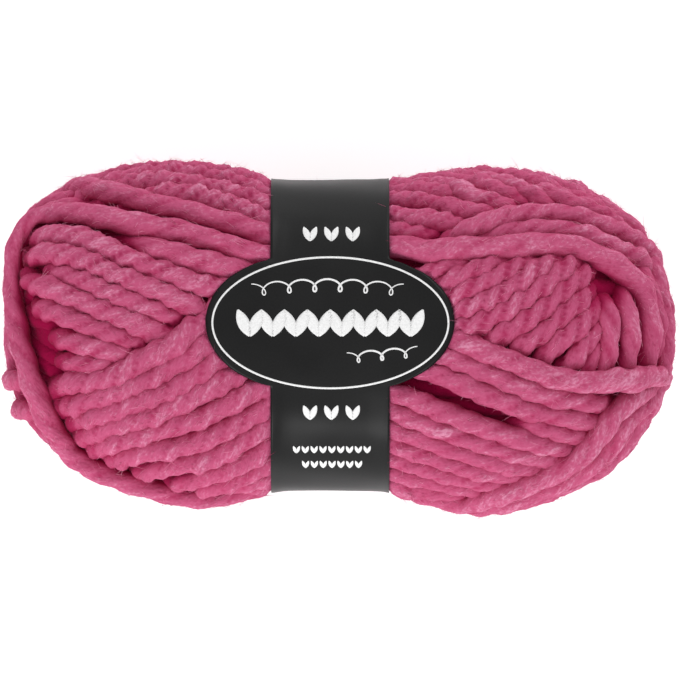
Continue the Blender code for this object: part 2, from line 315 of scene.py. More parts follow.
def curve_through(points, step, extra=None):
    """Points at equal steps on a centripetal Catmull-Rom curve, and extra columns with them."""
    points = np.asarray(points, float)
    gap = np.maximum(np.linalg.norm(np.diff(points, axis=0), axis=1), 1e-3)
    knots = np.concatenate([[0], np.cumsum(np.sqrt(gap))])
    padded = np.vstack([2 * points[0] - points[1], points, 2 * points[-1] - points[-2]])
    k = np.concatenate([[-knots[1]], knots, [2 * knots[-1] - knots[-2]]])
    fine, share = [], []
    for i in range(1, len(points)):
        p0, p1, p2, p3 = padded[i - 1 : i + 3]
        t0, t1, t2, t3 = k[i - 1 : i + 3]
        count = max(4, int(np.linalg.norm(p2 - p1) / 0.4))
        t = np.linspace(t1, t2, count, endpoint=False)[:, None]
        a1 = (t1 - t) / (t1 - t0) * p0 + (t - t0) / (t1 - t0) * p1
        a2 = (t2 - t) / (t2 - t1) * p1 + (t - t1) / (t2 - t1) * p2
        a3 = (t3 - t) / (t3 - t2) * p2 + (t - t2) / (t3 - t2) * p3
        b1 = (t2 - t) / (t2 - t0) * a1 + (t - t0) / (t2 - t0) * a2
        b2 = (t3 - t) / (t3 - t1) * a2 + (t - t1) / (t3 - t1) * a3
        fine.append((t2 - t) / (t2 - t1) * b1 + (t - t1) / (t2 - t1) * b2)
        share.append(i - 1 + np.linspace(0, 1, count, endpoint=False))
    fine = np.vstack(fine + [points[-1:]])
    share = np.concatenate(share + [[len(points) - 1]])
    walked = np.concatenate(
        [[0], np.cumsum(np.linalg.norm(np.diff(fine, axis=0), axis=1))]
    )
    count = max(4, int(round(walked[-1] / step)))
    at = np.linspace(0, walked[-1], count + 1)
    out = np.stack([np.interp(at, walked, fine[:, c]) for c in range(3)], axis=1)
    if extra is None:
        return out
    where = np.interp(at, walked, share)
    return out, np.interp(where, np.arange(len(points)), extra)


# ----------------------------------------------------------------- the strands
# A path's points are (kind, a, b, height), in mm and degrees: see place().
STRAND_COLUMNS = ("name", "piece", "radius", "pitch", "ply_depth", "path")
# strands-begin
STRANDS = (
    ("left_crown_1", "left_top", 2.6, 9.5, 0.75, (("t", -5, 12, 0), ("t", -14, 11, 0), ("t", -26, 8, 0), ("t", -38, 6, 0), ("t", -50, 6, 0), ("t", -60, 9, -1), ("t", -66, 15, -4.5))),
    ("left_crown_2", "left_top", 2.6, 9.5, 0.75, (("t", -5, 21, 0), ("t", -14, 20, 0), ("t", -26, 17, 0), ("t", -38, 14, 0), ("t", -48, 14, 0), ("t", -57, 17, -1), ("t", -64, 23, -4.5))),
    ("left_crown_3", "left_top", 2.6, 9.5, 0.75, (("t", -5, 30, 0), ("t", -14, 29, 0), ("t", -26, 25, 0), ("t", -38, 22, 0), ("t", -47, 22, 0), ("t", -54, 24, -2), ("t", -59, 26, -5.2))),
    ("left_crown_4", "left_top", 2.6, 9.5, 0.75, (("t", -5, 38, 0), ("t", -14, 37, 0), ("t", -26, 33, 0), ("t", -37, 30, 0), ("t", -44, 30, -1), ("t", -50, 31, -3), ("t", -54, 32, -5.4))),
    ("left_ridge", "left_top", 2.5, 20, 0.4, (("f", -9.8, 20.3, -0.3), ("f", -12.9, 21.1, 0), ("f", -15.6, 22.3, 0), ("f", -23.4, 24.9, 0), ("f", -31.2, 27.2, 0), ("f", -37.8, 28.9, 0), ("f", -44.5, 30.7, 0), ("f", -50.1, 31.9, 0), ("f", -55.6, 32.6, 0), ("f", -60.1, 32.5, 0), ("f", -63, 31.7, -0.4), ("e", 26.5, 34, -0.6), ("e", 22, 31.5, -0.6), ("e", 12, 29.5, -0.3), ("e", 0, 29, -0.3), ("e", -8, 28, -0.6), ("e", -15, 27.5, -1), ("t", -64, 187, -1), ("t", -50, 187, -0.5), ("t", -30, 187, 0), ("t", -14, 187, 0), ("t", -5, 187, 0))),
    ("left_wrap", "left_top", 2.6, 22, 0.4, (("f", -8.5, 16, -0.3), ("f", -12.5, 16.9, 0), ("f", -16, 17.8, 0), ("f", -21.1, 19.1, 0), ("f", -26.7, 21, 0), ("f", -31.2, 22.3, 0), ("f", -35.6, 23.4, 0), ("f", -44.5, 24.9, 0.2), ("f", -53.4, 26.7, 0.4), ("f", -59, 27.6, 0.5), ("p", -63, 27.9, 44.6), ("p", -65.9, 27.7, 42.6), ("p", -68.3, 26.8, 41.4), ("p", -70.2, 25, 41.2), ("p", -71.6, 22.5, 41.8), ("p", -72.5, 19.4, 42.6), ("p", -72.9, 16, 43.2), ("p", -72.9, 12.5, 43.8), ("p", -72.5, 9.1, 44.7), ("p", -71.9, 5.6, 45.7), ("p", -71.3, 2, 47), ("p", -70.6, -1.6, 48.4), ("p", -69.5, -5.1, 49.6), ("p", -68.3, -8.7, 50), ("f", -67, -12.2, 0.9), ("f", -65.6, -15.8, 1), ("f", -63.7, -19.8, 1), ("f", -61.2, -23.6, 0.9), ("f", -57.9, -27.2, 0.9), ("f", -53.2, -29.6, 0.9), ("f", -48.7, -31.3, 0.9), ("f", -44.3, -32.7, 0.8), ("f", -39, -33.9, 0.5), ("f", -34.3, -34.7, 0.4), ("t", -26, 181, 0.3), ("t", -16, 179, 0), ("t", -5, 179, 0))),
    ("left_under_wrap", "left_top", 2.6, 20, 0.4, (("f", -12.2, 11.4, -0.7), ("f", -15.6, 12.7, -0.3), ("f", -18.9, 13.8, 0), ("f", -22.3, 14.9, 0), ("f", -31.2, 16.9, 0), ("f", -37.8, 18.7, 0), ("f", -42.3, 19.6, -0.6), ("f", -45.4, 20.7, -3), ("f", -48.5, 21.8, -5))),
    ("left_fall_1", "left_top", 2.6, 14, 0.55, (("f", -17.4, 5.6, -1), ("f", -21.1, 7.8, -0.5), ("f", -26.3, 10.2, 0), ("f", -31.2, 11.6, 0), ("f", -35.6, 13.1, 0), ("f", -40.1, 14.9, 0), ("f", -44.5, 16.5, 0), ("f", -49, 18.3, 0), ("f", -53.4, 20.3, 0), ("f", -57.9, 22.3, 0), ("f", -62.3, 22.5, -0.2), ("f", -66.1, 21.4, -1.6), ("f", -68.3, 20.3, -5))),
    ("left_fall_2", "left_top", 2.6, 14, 0.55, (("f", -24.9, 3.6, -2.5), ("f", -27.8, 4.9, -1.5), ("f", -31.2, 6.2, -0.3), ("f", -35.6, 8, 0), ("f", -40.1, 10, 0), ("f", -44.5, 11.8, 0), ("f", -49, 13.4, 0), ("f", -53.4, 15.4, 0), ("f", -57.9, 16.9, 0), ("f", -63.2, 18, -0.3), ("f", -66.6, 17.4, -1.7), ("f", -68.6, 16.7, -5))),
    ("left_fall_3", "left_top", 2.4, 14, 0.55, (("f", -33.4, 3.6, -3.5), ("f", -36.1, 4.5, -2), ("f", -40.1, 5.8, 0), ("f", -44.5, 7.1, 0), ("f", -49, 9.1, 0), ("f", -53.4, 11.4, 0), ("f", -57.9, 12.7, 0), ("f", -61.9, 14.5, -1.2), ("f", -64.6, 15.4, -4))),
    ("left_fall_4", "left_top", 2.6, 14, 0.55, (("f", -35.2, -0.4, -3.5), ("f", -37.8, 0.9, -2), ("f", -42.3, 2.2, 0), ("f", -46.7, 4, 0), ("f", -51.2, 5.8, 0), ("f", -55.6, 8.2, 0), ("f", -60.1, 10.2, 0), ("f", -63.7, 11.8, -0.3), ("f", -66.6, 12.2, -1.8), ("f", -68.3, 12.7, -5))),
    ("left_fall_5", "left_top", 2.5, 14, 0.55, (("f", -41.2, -3.1, -3.5), ("f", -44.5, -1.8, -2), ("f", -49, -0.2, 0), ("f", -53.4, 1.8, 0), ("f", -57.9, 4.5, 0), ("f", -61.9, 5.8, -0.3), ("f", -65, 6.5, -1.8), ("f", -66.8, 6.9, -5))),
    ("left_fall_6", "left_top", 2.5, 14, 0.55, (("f", -43.4, -5.3, -3.5), ("f", -46.1, -3.8, -2), ("f", -49, -3.6, -0.3), ("f", -53.4, -2.7, 0), ("f", -57.9, -1.1, -0.3), ("f", -60.8, 0, -1.8), ("f", -62.8, 0.7, -5))),
    ("left_fall_7", "left_top", 2.4, 14, 0.55, (("f", -46.7, -5.3, -3.5), ("f", -49.4, -4.5, -1.5), ("f", -53.4, -5.1, 0), ("f", -57, -5.3, -0.4), ("f", -59.9, -5.1, -1.9), ("f", -61.9, -4.7, -5))),
    ("left_rise_1", "left_top", 2.6, 13, 0.42, (("f", -18.7, 12, -2.2), ("f", -22.3, 10.2, -1.5), ("f", -26.3, 7.8, -0.5), ("f", -30.1, 4.5, 0.3), ("f", -33.4, 1.1, 0.5), ("f", -37.8, -2, 0.5), ("f", -42.3, -4.2, 0.5), ("f", -46.7, -6, 0.3), ("f", -51.2, -7.8, 0), ("f", -55.6, -9.1, 0), ("f", -58.8, -9.9, -0.5), ("f", -61.4, -10.5, -2), ("f", -63.4, -10.9, -5))),
    ("left_rise_2", "left_top", 2.6, 13, 0.42, (("f", -17.4, 8, -1.8), ("f", -21.1, 5.8, -1), ("f", -24.9, 2.9, 0), ("f", -27.8, 0, 0), ("f", -31.2, -2.7, 0), ("f", -35.6, -5.6, 0), ("f", -40.1, -8, 0), ("f", -44.5, -10, 0), ("f", -49, -11.8, 0), ("f", -53.4, -13.1, 0), ("f", -57, -14, -0.5), ("f", -59.7, -14.7, -2.2), ("f", -61.7, -15.1, -5))),
    ("left_rise_3", "left_top", 2.55, 13, 0.42, (("f", -17.4, 3.1, -1.4), ("f", -21.1, 0, -0.5), ("f", -24, -2.7, 0), ("f", -26.7, -4.9, 0), ("f", -31.2, -8, 0), ("f", -35.6, -10.7, 0), ("f", -40.1, -12.7, 0), ("f", -44.5, -14.2, 0), ("f", -49, -15.6, 0), ("f", -52.5, -16.5, 0), ("f", -55.4, -17.4, -0.8), ("f", -57.9, -18, -2.6), ("f", -59.9, -18.5, -5))),
    ("left_rise_4", "left_top", 2.55, 13, 0.42, (("f", -14.5, -2.2, -0.6), ("f", -17.4, -4.5, 0), ("f", -21.1, -6.9, 0), ("f", -25.6, -9.3, 0), ("f", -30.1, -11.8, 0), ("f", -34.5, -14, 0), ("f", -39, -15.8, 0), ("f", -43.4, -17.1, 0), ("f", -47.9, -18.5, 0), ("f", -51.2, -19.6, 0), ("f", -54.1, -20.5, -0.8), ("f", -56.5, -21.4, -2.6), ("f", -58.5, -21.8, -5))),
    ("left_rise_5", "left_top", 2.5, 13, 0.42, (("f", -9.3, -6.2, -0.4), ("f", -12.2, -8, 0), ("f", -17.4, -10.8, 0), ("f", -22.3, -13.4, 0), ("f", -26.7, -15.6, 0), ("f", -31.2, -17.6, 0), ("f", -35.6, -19, 0), ("f", -40.1, -20.3, 0), ("f", -44.5, -21.1, 0), ("f", -48.5, -22.3, 0), ("f", -51.4, -23.2, -0.8), ("f", -54.1, -24, -2.6), ("f", -56.3, -24.7, -5))),
    ("left_rise_6", "left_top", 2.6, 13, 0.42, (("f", -9.3, -10.7, -0.3), ("f", -12.2, -12.5, 0), ("f", -16, -14.8, 0), ("f", -20, -17.1, 0), ("f", -24.5, -19.7, 0), ("f", -30.1, -22.3, 0), ("f", -35.6, -23.6, 0), ("f", -41.2, -24.7, 0), ("f", -46.7, -25.6, -0.5), ("f", -49.9, -26.3, -2.2), ("f", -52.5, -26.9, -5))),
    ("left_rise_7", "left_top", 2.55, 13, 0.42, (("f", -9.3, -14.9, -0.3), ("f", -12.2, -16.7, 0), ("f", -16, -19.1, 0), ("f", -18.9, -21.1, 0), ("f", -23.4, -23.7, 0), ("f", -28.9, -26.3, 0), ("f", -34.5, -27.7, 0), ("f", -40.5, -28.6, -0.4), ("f", -44.1, -29.2, -2), ("f", -47, -29.4, -5))),
    ("left_rise_8", "left_top", 2.5, 13, 0.42, (("f", -9.3, -19.4, -0.3), ("f", -12.2, -21.1, 0), ("f", -16, -23.6, 0), ("f", -21.6, -27.3, 0), ("f", -27.8, -29.8, 0), ("f", -32.9, -31.2, -0.3), ("f", -37, -31.6, -1.8), ("f", -40.3, -31.6, -5))),
    ("left_rise_9", "left_top", 2.4, 13, 0.42, (("f", -9.3, -24, -0.3), ("f", -12.2, -25.8, 0), ("f", -16, -27.8, 0), ("f", -20, -29.8, 0), ("f", -24.5, -31.7, 0), ("f", -28.5, -32.8, -0.6), ("f", -31.2, -33.3, -2.5), ("f", -33.6, -33.4, -5))),
    ("left_rise_10", "left_top", 2.4, 13, 0.42, (("f", -9.3, -28.9, -0.3), ("f", -12.2, -30.3, 0), ("f", -16, -31.8, 0), ("f", -20, -33.4, -0.5), ("f", -23.4, -34.3, -2))),
    ("right_near_1", "right_top", 2.3, 12, 0.58, (("f", 5.8, 32.7, -0.3), ("f", 8.9, 32.7, 0), ("f", 11.8, 32.9, 0), ("f", 17.8, 33.4, 0), ("f", 24.5, 32.9, 0), ("f", 30.1, 31.4, 0), ("f", 35.6, 29.2, -0.5), ("f", 39, 27.6, -3))),
    ("right_near_2", "right_top", 2.3, 12, 0.58, (("f", 5.8, 30.1, -0.3), ("f", 8.9, 30.1, 0), ("f", 11.8, 30.1, 0), ("f", 17.8, 30.1, 0), ("f", 22.3, 29.2, 0), ("f", 26.7, 28, 0), ("f", 31.2, 26.9, -0.3), ("f", 35.6, 26.5, -2), ("f", 39, 25.8, -4))),
    ("right_near_3", "right_top", 2.3, 12, 0.58, (("f", 5.8, 26.9, -0.3), ("f", 8.9, 26.9, 0), ("f", 11.8, 26.7, 0), ("f", 16.7, 26, 0), ("f", 22.3, 24.9, -0.3), ("f", 25.6, 24.5, -1.5), ("f", 28.9, 23.8, -4))),
    ("right_near_4", "right_top", 2.2, 12, 0.58, (("f", 5.8, 23.8, -0.4), ("f", 8.9, 23.8, -0.2), ("f", 11.8, 23.8, -0.3), ("f", 16.7, 23.2, -0.8), ("f", 21.1, 22.3, -2.2), ("f", 24.5, 21.8, -4.5))),
    ("right_straight", "right_top", 2.7, 30, 0.3, (("f", 5.8, 21.1, -0.3), ("f", 8.9, 20.7, 0), ("f", 11.8, 20.5, 0), ("f", 17.8, 19.1, 0), ("f", 24.5, 19.1, 0), ("f", 31.2, 19.4, 0), ("f", 37.8, 19.6, 0), ("f", 44.5, 19.8, 0), ("f", 50.1, 19.8, 0), ("f", 55.6, 18.5, 0), ("f", 60.3, 16.2, 0), ("f", 64.3, 13.5, 0), ("f", 67, 10, 0), ("f", 68.3, 5.6, 0), ("f", 68.6, 0, 0), ("f", 67.9, -5.3, -1), ("f", 66.8, -9.3, -3))),
    ("right_cross", "right_top", 2.3, 16, 0.5, (("f", 21.8, 20.3, -3.2), ("f", 24.9, 21.6, -1), ("f", 27.8, 22.7, 0.3), ("f", 31.2, 24, 0.8), ("f", 35.6, 25.8, 1), ("f", 40.1, 27, 1), ("f", 44.5, 27.6, 1), ("f", 49, 27.4, 1), ("f", 53.4, 26.5, 1), ("f", 57.9, 24.9, 1), ("f", 62.3, 23.4, 1), ("f", 66.3, 20.9, 0.8), ("f", 68.8, 17.8, 0.6), ("f", 70.3, 13.8, 0.4), ("f", 71.5, 8.5, 0.4), ("f", 72.6, 2.9, 0.4), ("f", 72.8, -1.6, 0.4), ("f", 71.9, -6.2, -0.5), ("f", 70.8, -10.7, -1), ("f", 69, -16, 0), ("f", 66.8, -20.9, 0), ("f", 62.8, -25.4, 0), ("f", 58.3, -29.4, 0), ("f", 53, -32.7, 0), ("f", 46.7, -34.9, 0), ("f", 40.1, -36.7, 0), ("t", 32, 181, 0), ("t", 20, 181, 0), ("t", 10, 181, 0), ("t", 2, 181, 0))),
    ("right_cross_2", "right_top", 2.3, 16, 0.5, (("f", 28.9, 20.3, -3), ("f", 31.2, 21.4, -1.5), ("f", 33.4, 22.3, -0.3), ("f", 37.8, 23.2, 0), ("f", 42.3, 23.8, 0.3), ("f", 46.7, 24, 0.3), ("f", 51.2, 22.9, 0.3), ("f", 55.6, 21.6, 0.3), ("f", 60.1, 20, 0.3), ("f", 64.6, 18, 0), ("f", 67.9, 15.4, -0.5), ("f", 69.9, 12, -2.5), ("f", 71.2, 8.5, -4.5))),
    ("right_end_1", "right_top", 2.4, 18, 0.5, (("f", 56.3, 9.1, -5.2), ("f", 57.7, 6.9, -2), ("f", 58.5, 4, -0.3), ("f", 58.1, -1.6, -0.3), ("f", 56.8, -6, -1.5), ("f", 55.6, -8.9, -4))),
    ("right_end_2", "right_top", 2.5, 18, 0.4, (("f", 60.1, 10.7, -5.4), ("f", 61.7, 8.5, -1.8), ("f", 63.4, 5.1, -0.2), ("f", 64.1, -0.4, 0), ("f", 63, -6, -1), ("f", 61.9, -9.3, -3.5))),
    ("right_mid_1", "right_top", 2.3, 14, 0.72, (("f", 13.4, 9.3, -1), ("f", 16, 11.1, -0.5), ("f", 18.9, 12.9, 0), ("f", 22.3, 14.5, 0), ("f", 25.6, 15.8, -0.5), ("f", 28.9, 16.9, -2), ("f", 31.6, 18.3, -4))),
    ("right_mid_2", "right_top", 2.4, 14, 0.72, (("f", 16.5, 6.9, -1), ("f", 19.6, 8.9, -0.5), ("f", 22.3, 10.7, 0), ("f", 26.7, 12.7, 0), ("f", 31.2, 14.7, 0), ("f", 35.6, 16, -1), ("f", 39, 17.4, -3.5))),
    ("right_mid_3", "right_top", 2.5, 14, 0.72, (("f", 17.4, 4.5, -1), ("f", 20.5, 6.5, -0.5), ("f", 23.4, 8.5, 0), ("f", 27.8, 10, 0), ("f", 33.4, 12.2, 0), ("f", 37.8, 14.5, -0.3), ("f", 42.3, 16.7, -1.5), ("f", 45.6, 18.3, -4))),
    ("right_mid_4", "right_top", 2.6, 14, 0.72, (("f", 18.3, 1.8, -1), ("f", 21.4, 3.6, -0.5), ("f", 24.5, 5.1, 0), ("f", 30.1, 7.3, 0), ("f", 35.6, 10.2, 0), ("f", 41.2, 13.4, 0), ("f", 45.6, 16, -1), ("f", 49, 18.3, -3.5))),
    ("right_mid_5", "right_top", 2.5, 14, 0.72, (("f", 20.5, 0, -2.5), ("f", 23.4, 1.8, -1), ("f", 26.7, 3.6, 0), ("f", 33.4, 5.3, 0), ("f", 39, 8.5, 0), ("f", 44.5, 12, 0), ("f", 49.4, 15.4, -0.5), ("f", 53, 18, -3))),
    ("right_mid_6", "right_top", 2.5, 14, 0.72, (("f", 30.7, -1.6, -2.5), ("f", 34.5, 0.7, -0.3), ("f", 40.1, 4, 0), ("f", 45.6, 8, 0), ("f", 49.6, 11.4, -0.2), ("f", 52.8, 14, -1.4), ("f", 55, 16.2, -5))),
    ("right_mid_7", "right_top", 2.4, 14, 0.72, (("f", 36.7, -4, -3), ("f", 40.1, -1.6, -0.3), ("f", 44.5, 1.6, 0), ("f", 49, 5.3, 0), ("f", 51.9, 8.1, -0.3), ("f", 53.6, 10, -1.8), ("f", 55, 11.6, -5))),
    ("right_mid_8", "right_top", 2.4, 14, 0.72, (("f", 42.3, -6, -3), ("f", 45.6, -3.1, -0.3), ("f", 50.1, 0.7, 0), ("f", 53.9, 4.1, -0.3), ("f", 56.1, 6.9, -2), ("f", 57.4, 8.9, -5))),
    ("right_mid_9", "right_top", 2.3, 14, 0.72, (("f", 47.4, -8.5, -3), ("f", 50.1, -6, -0.5), ("f", 53.4, -2.7, 0), ("f", 56.5, 0.9, -0.7), ("f", 58.8, 4, -3.5))),
    ("right_mid_10", "right_top", 2.2, 14, 0.72, (("f", 51.9, -9.3, -3), ("f", 54.1, -6.9, -0.7), ("f", 56.3, -4, -0.7), ("f", 58.1, -1.1, -2), ("f", 59.7, 1.6, -4))),
    ("right_over", "right_top", 2.55, 19, 0.45, (("f", 18.9, 3.3, -2), ("f", 22.3, 1.8, -0.8), ("f", 25.6, 0, 0), ("f", 31.2, -2.4, 0.3), ("f", 35.6, -4.2, 0.5), ("f", 40.1, -6, 0.8), ("f", 44.5, -7.8, 1), ("f", 49, -8.9, 1), ("f", 53.4, -9.5, 1.2), ("f", 57.9, -9.5, 1.5), ("f", 62.3, -9.2, 1.6), ("f", 66.8, -9.1, 1.3), ("f", 69.7, -9, 0.6), ("e", -9, 38, 0.1), ("e", -9.5, 30, 0), ("e", -10, 20, 0), ("e", -9, 12, -2.5), ("e", -8, 6, -5))),
    ("right_fall_1", "right_top", 2.55, 18, 0.42, (("f", 16.7, 0.2, -1), ("f", 20, -1.6, -0.5), ("f", 23.4, -3.1, 0), ("f", 26.7, -4.9, 0), ("f", 31.2, -7.1, 0), ("f", 35.6, -9.1, 0), ("f", 40.1, -11.1, 0), ("f", 44.5, -12.7, 0), ("f", 49, -13.6, 0), ("f", 53, -14.1, -0.2), ("f", 56.1, -14.4, -1), ("f", 58.5, -14.1, -3.5), ("f", 60.3, -13.8, -5.2))),
    ("right_fall_2", "right_top", 2.45, 16, 0.42, (("f", 12.2, -3.1, -1), ("f", 15.6, -4.9, -0.5), ("f", 18.9, -6.5, 0), ("f", 22.3, -8, 0), ("f", 26.7, -9.7, 0), ("f", 31.2, -11.6, 0), ("f", 35.6, -13.4, 0), ("f", 40.1, -15.4, 0), ("f", 44.5, -16.9, 0), ("f", 49, -17.8, 0), ("f", 53.4, -18.3, -0.3), ("f", 57.2, -18.5, -2), ("f", 60.1, -18.3, -4))),
    ("right_short", "right_top", 2.3, 14, 0.5, (("f", 35.6, -19.1, -5), ("f", 38.5, -19.4, -2), ("f", 42.3, -19.1, -1), ("f", 45.6, -19.5, -0.3), ("f", 49, -20.5, 0), ("f", 52.8, -21.8, -0.7), ("f", 55.6, -22.7, -3))),
    ("right_fall_3", "right_top", 2.4, 16, 0.42, (("f", 4.9, -8.9, -0.4), ("f", 8.5, -10.6, 0), ("f", 11.6, -12.1, 0), ("f", 15.6, -13.8, 0), ("f", 20, -15.8, 0), ("f", 24.5, -17.7, 0), ("f", 28.9, -19.3, 0), ("f", 33.4, -20.7, 0), ("f", 37.8, -21.8, 0), ("f", 42.3, -22.9, 0), ("f", 46.7, -24, 0), ("f", 50.8, -24.9, -1), ("f", 53.9, -25.4, -3.5))),
    ("right_fall_4", "right_top", 2.35, 16, 0.42, (("f", 4.9, -13.4, -0.4), ("f", 8.5, -14.5, 0), ("f", 11.6, -15.6, 0), ("f", 15.6, -17.1, 0), ("f", 20, -18.9, 0), ("f", 24.5, -20.7, 0), ("f", 28.9, -22.5, 0), ("f", 33.4, -24, 0), ("f", 37.8, -25.4, 0), ("f", 42.3, -26.3, 0), ("f", 46.7, -26.9, -0.5), ("f", 49.9, -27.4, -2), ("f", 52.5, -27.6, -4))),
    ("right_fall_5", "right_top", 2.35, 15, 0.42, (("f", 4.9, -17.8, -0.4), ("f", 8.5, -18.7, 0), ("f", 11.6, -19.8, 0), ("f", 15.6, -20.9, 0), ("f", 20, -22.5, 0), ("f", 24.5, -24.3, 0), ("f", 28.9, -25.8, 0), ("f", 33.4, -26.9, 0), ("f", 37.8, -27.8, 0), ("f", 42.3, -28.3, -0.5), ("f", 46.1, -28.5, -2), ("f", 49, -28.5, -4))),
    ("right_fall_6", "right_top", 2.3, 15, 0.42, (("f", 4.9, -21.6, -0.4), ("f", 8.5, -22.5, 0), ("f", 11.6, -23.4, 0), ("f", 15.6, -24.5, 0), ("f", 20, -25.8, 0), ("f", 24.5, -27.4, 0), ("f", 28.9, -28.5, 0), ("f", 33.4, -29.4, 0), ("f", 37.8, -29.8, -0.5), ("f", 42.3, -30.1, -2.5), ("f", 45.6, -30.1, -4))),
    ("right_fall_7", "right_top", 2.3, 14, 0.42, (("f", 4.9, -24.9, -0.4), ("f", 8.5, -25.6, 0), ("f", 11.6, -26.3, 0), ("f", 15.6, -27.6, 0), ("f", 20, -28.7, 0), ("f", 24.5, -29.8, 0), ("f", 28.9, -30.7, 0), ("f", 33.4, -31.4, -0.3), ("f", 37.8, -31.6, -2), ("f", 41.2, -31.8, -4))),
    ("right_fall_8", "right_top", 2.3, 14, 0.42, (("f", 4.9, -28, -0.4), ("f", 8.5, -28.7, 0), ("f", 11.6, -29.4, 0), ("f", 15.6, -30.5, 0), ("f", 20, -31.4, 0), ("f", 24.5, -32.3, 0), ("f", 28.9, -32.9, -0.5), ("f", 32.3, -33.2, -2), ("f", 35.6, -33.4, -4))),
    ("right_fall_9", "right_top", 2.3, 14, 0.42, (("f", 4.9, -30.9, -0.4), ("f", 8.5, -31.6, 0), ("f", 11.6, -32.1, 0), ("f", 15.6, -33.2, 0), ("f", 20, -33.8, 0), ("f", 24.5, -34.1, -0.3), ("f", 28.9, -34.3, -2), ("f", 32.3, -34.5, -4))),
    ("right_wrap_1", "right_top", 2.6, 20, 0.4, (("f", 69.5, -5.8, -3.5), ("f", 68.8, -9.3, -1), ("f", 65.4, -12.5, 0.8), ("f", 61, -15.8, 1.2), ("f", 57.7, -20, 1.2), ("f", 54.3, -24, 1.2), ("f", 50.3, -27.4, 1), ("f", 45.6, -29.8, 0.8), ("f", 40.1, -32.1, 0.5), ("f", 34.5, -33.6, 0.5), ("t", 28, 169, 0.2), ("t", 18, 170, 0), ("t", 10, 171, 0), ("t", 2, 171, 0))),
    ("right_wrap_2", "right_top", 2.5, 20, 0.4, (("f", 71.2, -8.5, -3), ("f", 70.1, -11.6, -1), ("f", 67.2, -14.1, 0.1), ("f", 63.9, -17.3, 0.4), ("f", 60.9, -20.9, 0.5), ("f", 57.9, -24.7, 0.5), ("f", 54.1, -28.2, 0.5), ("f", 49.2, -31.2, 0.4), ("f", 44.1, -33.5, 0.3), ("f", 37.8, -35.4, 0.2), ("t", 30, 175, 0.1), ("t", 20, 175, 0), ("t", 10, 176, 0), ("t", 2, 176, 0))),
    ("right_fold_1", "right_top", 2.35, 12.5, 0.52, (("t", 2, 4, 0), ("t", 10, 5, 0), ("t", 20, 11, 0), ("f", 28, 33.6, 0), ("f", 33.4, 32.1, 0), ("f", 37.8, 30.1, -0.5), ("f", 41.2, 28.5, -2.5), ("f", 43.4, 27.2, -4))),
    ("right_fold_2", "right_top", 2.35, 12.5, 0.52, (("t", 2, -5, 0), ("t", 10, -4, 0), ("t", 20, 0, 0), ("t", 27, 8, 0), ("f", 33.8, 34.5, 0), ("f", 39, 32.7, 0), ("f", 44.1, 30.3, -0.5), ("f", 46.7, 28.7, -2.5), ("f", 49, 27.2, -4))),
    ("right_fold_3", "right_top", 2.4, 12.5, 0.52, (("t", 2, -14, 0), ("t", 12, -12, 0), ("t", 24, -5, 0), ("t", 32, 4, 0), ("f", 40.5, 34.9, 0), ("f", 45.6, 32.7, 0), ("f", 50.1, 30.3, -0.5), ("f", 52.8, 28.5, -2.5), ("f", 55.2, 26.9, -4))),
    ("right_fold_4", "right_top", 2.4, 12.5, 0.52, (("t", 2, -23, 0), ("t", 14, -20, 0), ("t", 28, -10, 0), ("t", 38, 0, 0), ("f", 47.4, 34.1, 0), ("f", 52.5, 31.4, 0), ("f", 56.1, 28.5, -1.5), ("f", 58.3, 26.7, -4))),
    ("right_fold_5", "right_top", 2.4, 12.5, 0.52, (("t", 2, -32, 0), ("t", 14, -29, 0), ("t", 30, -18, 0), ("t", 44, -4, 0), ("f", 53.6, 31.8, 0), ("f", 57.9, 28.9, -0.3), ("f", 60.5, 26.7, -2), ("f", 62.3, 24.9, -4))),
    ("right_fold_6", "right_top", 2.4, 12.5, 0.52, (("t", 2, -41, 0), ("t", 14, -38, 0), ("t", 34, -24, 0), ("t", 50, -8, 0), ("f", 58.5, 28.9, 0), ("f", 62.3, 26.3, -0.5), ("f", 65, 24, -2.5), ("f", 66.8, 22.3, -4))),
    ("left_side_1", "left_under", 2.5, 15, 0.5, (("t", -5, 3, 0), ("t", -14, 2, 0), ("t", -26, -1, 0), ("t", -38, -2.5, 0), ("t", -50, -2.5, 0), ("t", -60, 0, -0.3), ("t", -66, 5, -3.5))),
    ("left_side_2", "left_under", 2.5, 15, 0.5, (("t", -5, -6, 0), ("t", -14, -7, 0), ("t", -26, -9.5, 0), ("t", -38, -11, 0), ("t", -50, -11.5, 0), ("t", -60, -10, 0), ("t", -67, -5, -2), ("e", 20, 29, -5))),
    ("left_side_3", "left_under", 2.5, 15, 0.5, (("t", -5, -15, 0), ("t", -14, -16, 0), ("t", -26, -18, 0), ("t", -38, -19.5, 0), ("t", -50, -21, 0), ("t", -60, -22, 0), ("t", -67, -20, 0), ("e", 21, 22, -0.5), ("e", 17, 26, -4))),
    ("left_back_1", "left_under", 2.5, 13, 0.5, (("t", -5, 192, 0), ("t", -14, 192, 0), ("t", -28, 192, 0), ("t", -42, 193, 0), ("t", -55, 195, 0), ("t", -63, 198, 0), ("e", -17, 23.2, -0.3), ("e", -10, 24.2, -3.5))),
    ("left_back_2", "left_under", 2.5, 15, 0.5, (("t", -5, 200.6, 0), ("t", -14, 200.6, 0), ("t", -28, 200.6, 0), ("t", -42, 201.6, 0), ("t", -55, 203.6, 0), ("t", -63, 206.6, 0), ("e", -17, 20.6, -0.3), ("e", -10, 21.6, -3.5))),
    ("left_back_3", "left_under", 2.5, 17, 0.5, (("t", -5, 209.1, 0), ("t", -14, 209.1, 0), ("t", -28, 209.1, 0), ("t", -42, 210.1, 0), ("t", -55, 212.1, 0), ("t", -63, 215.1, 0), ("e", -17, 18.1, -0.3), ("e", -10, 19.1, -3.5))),
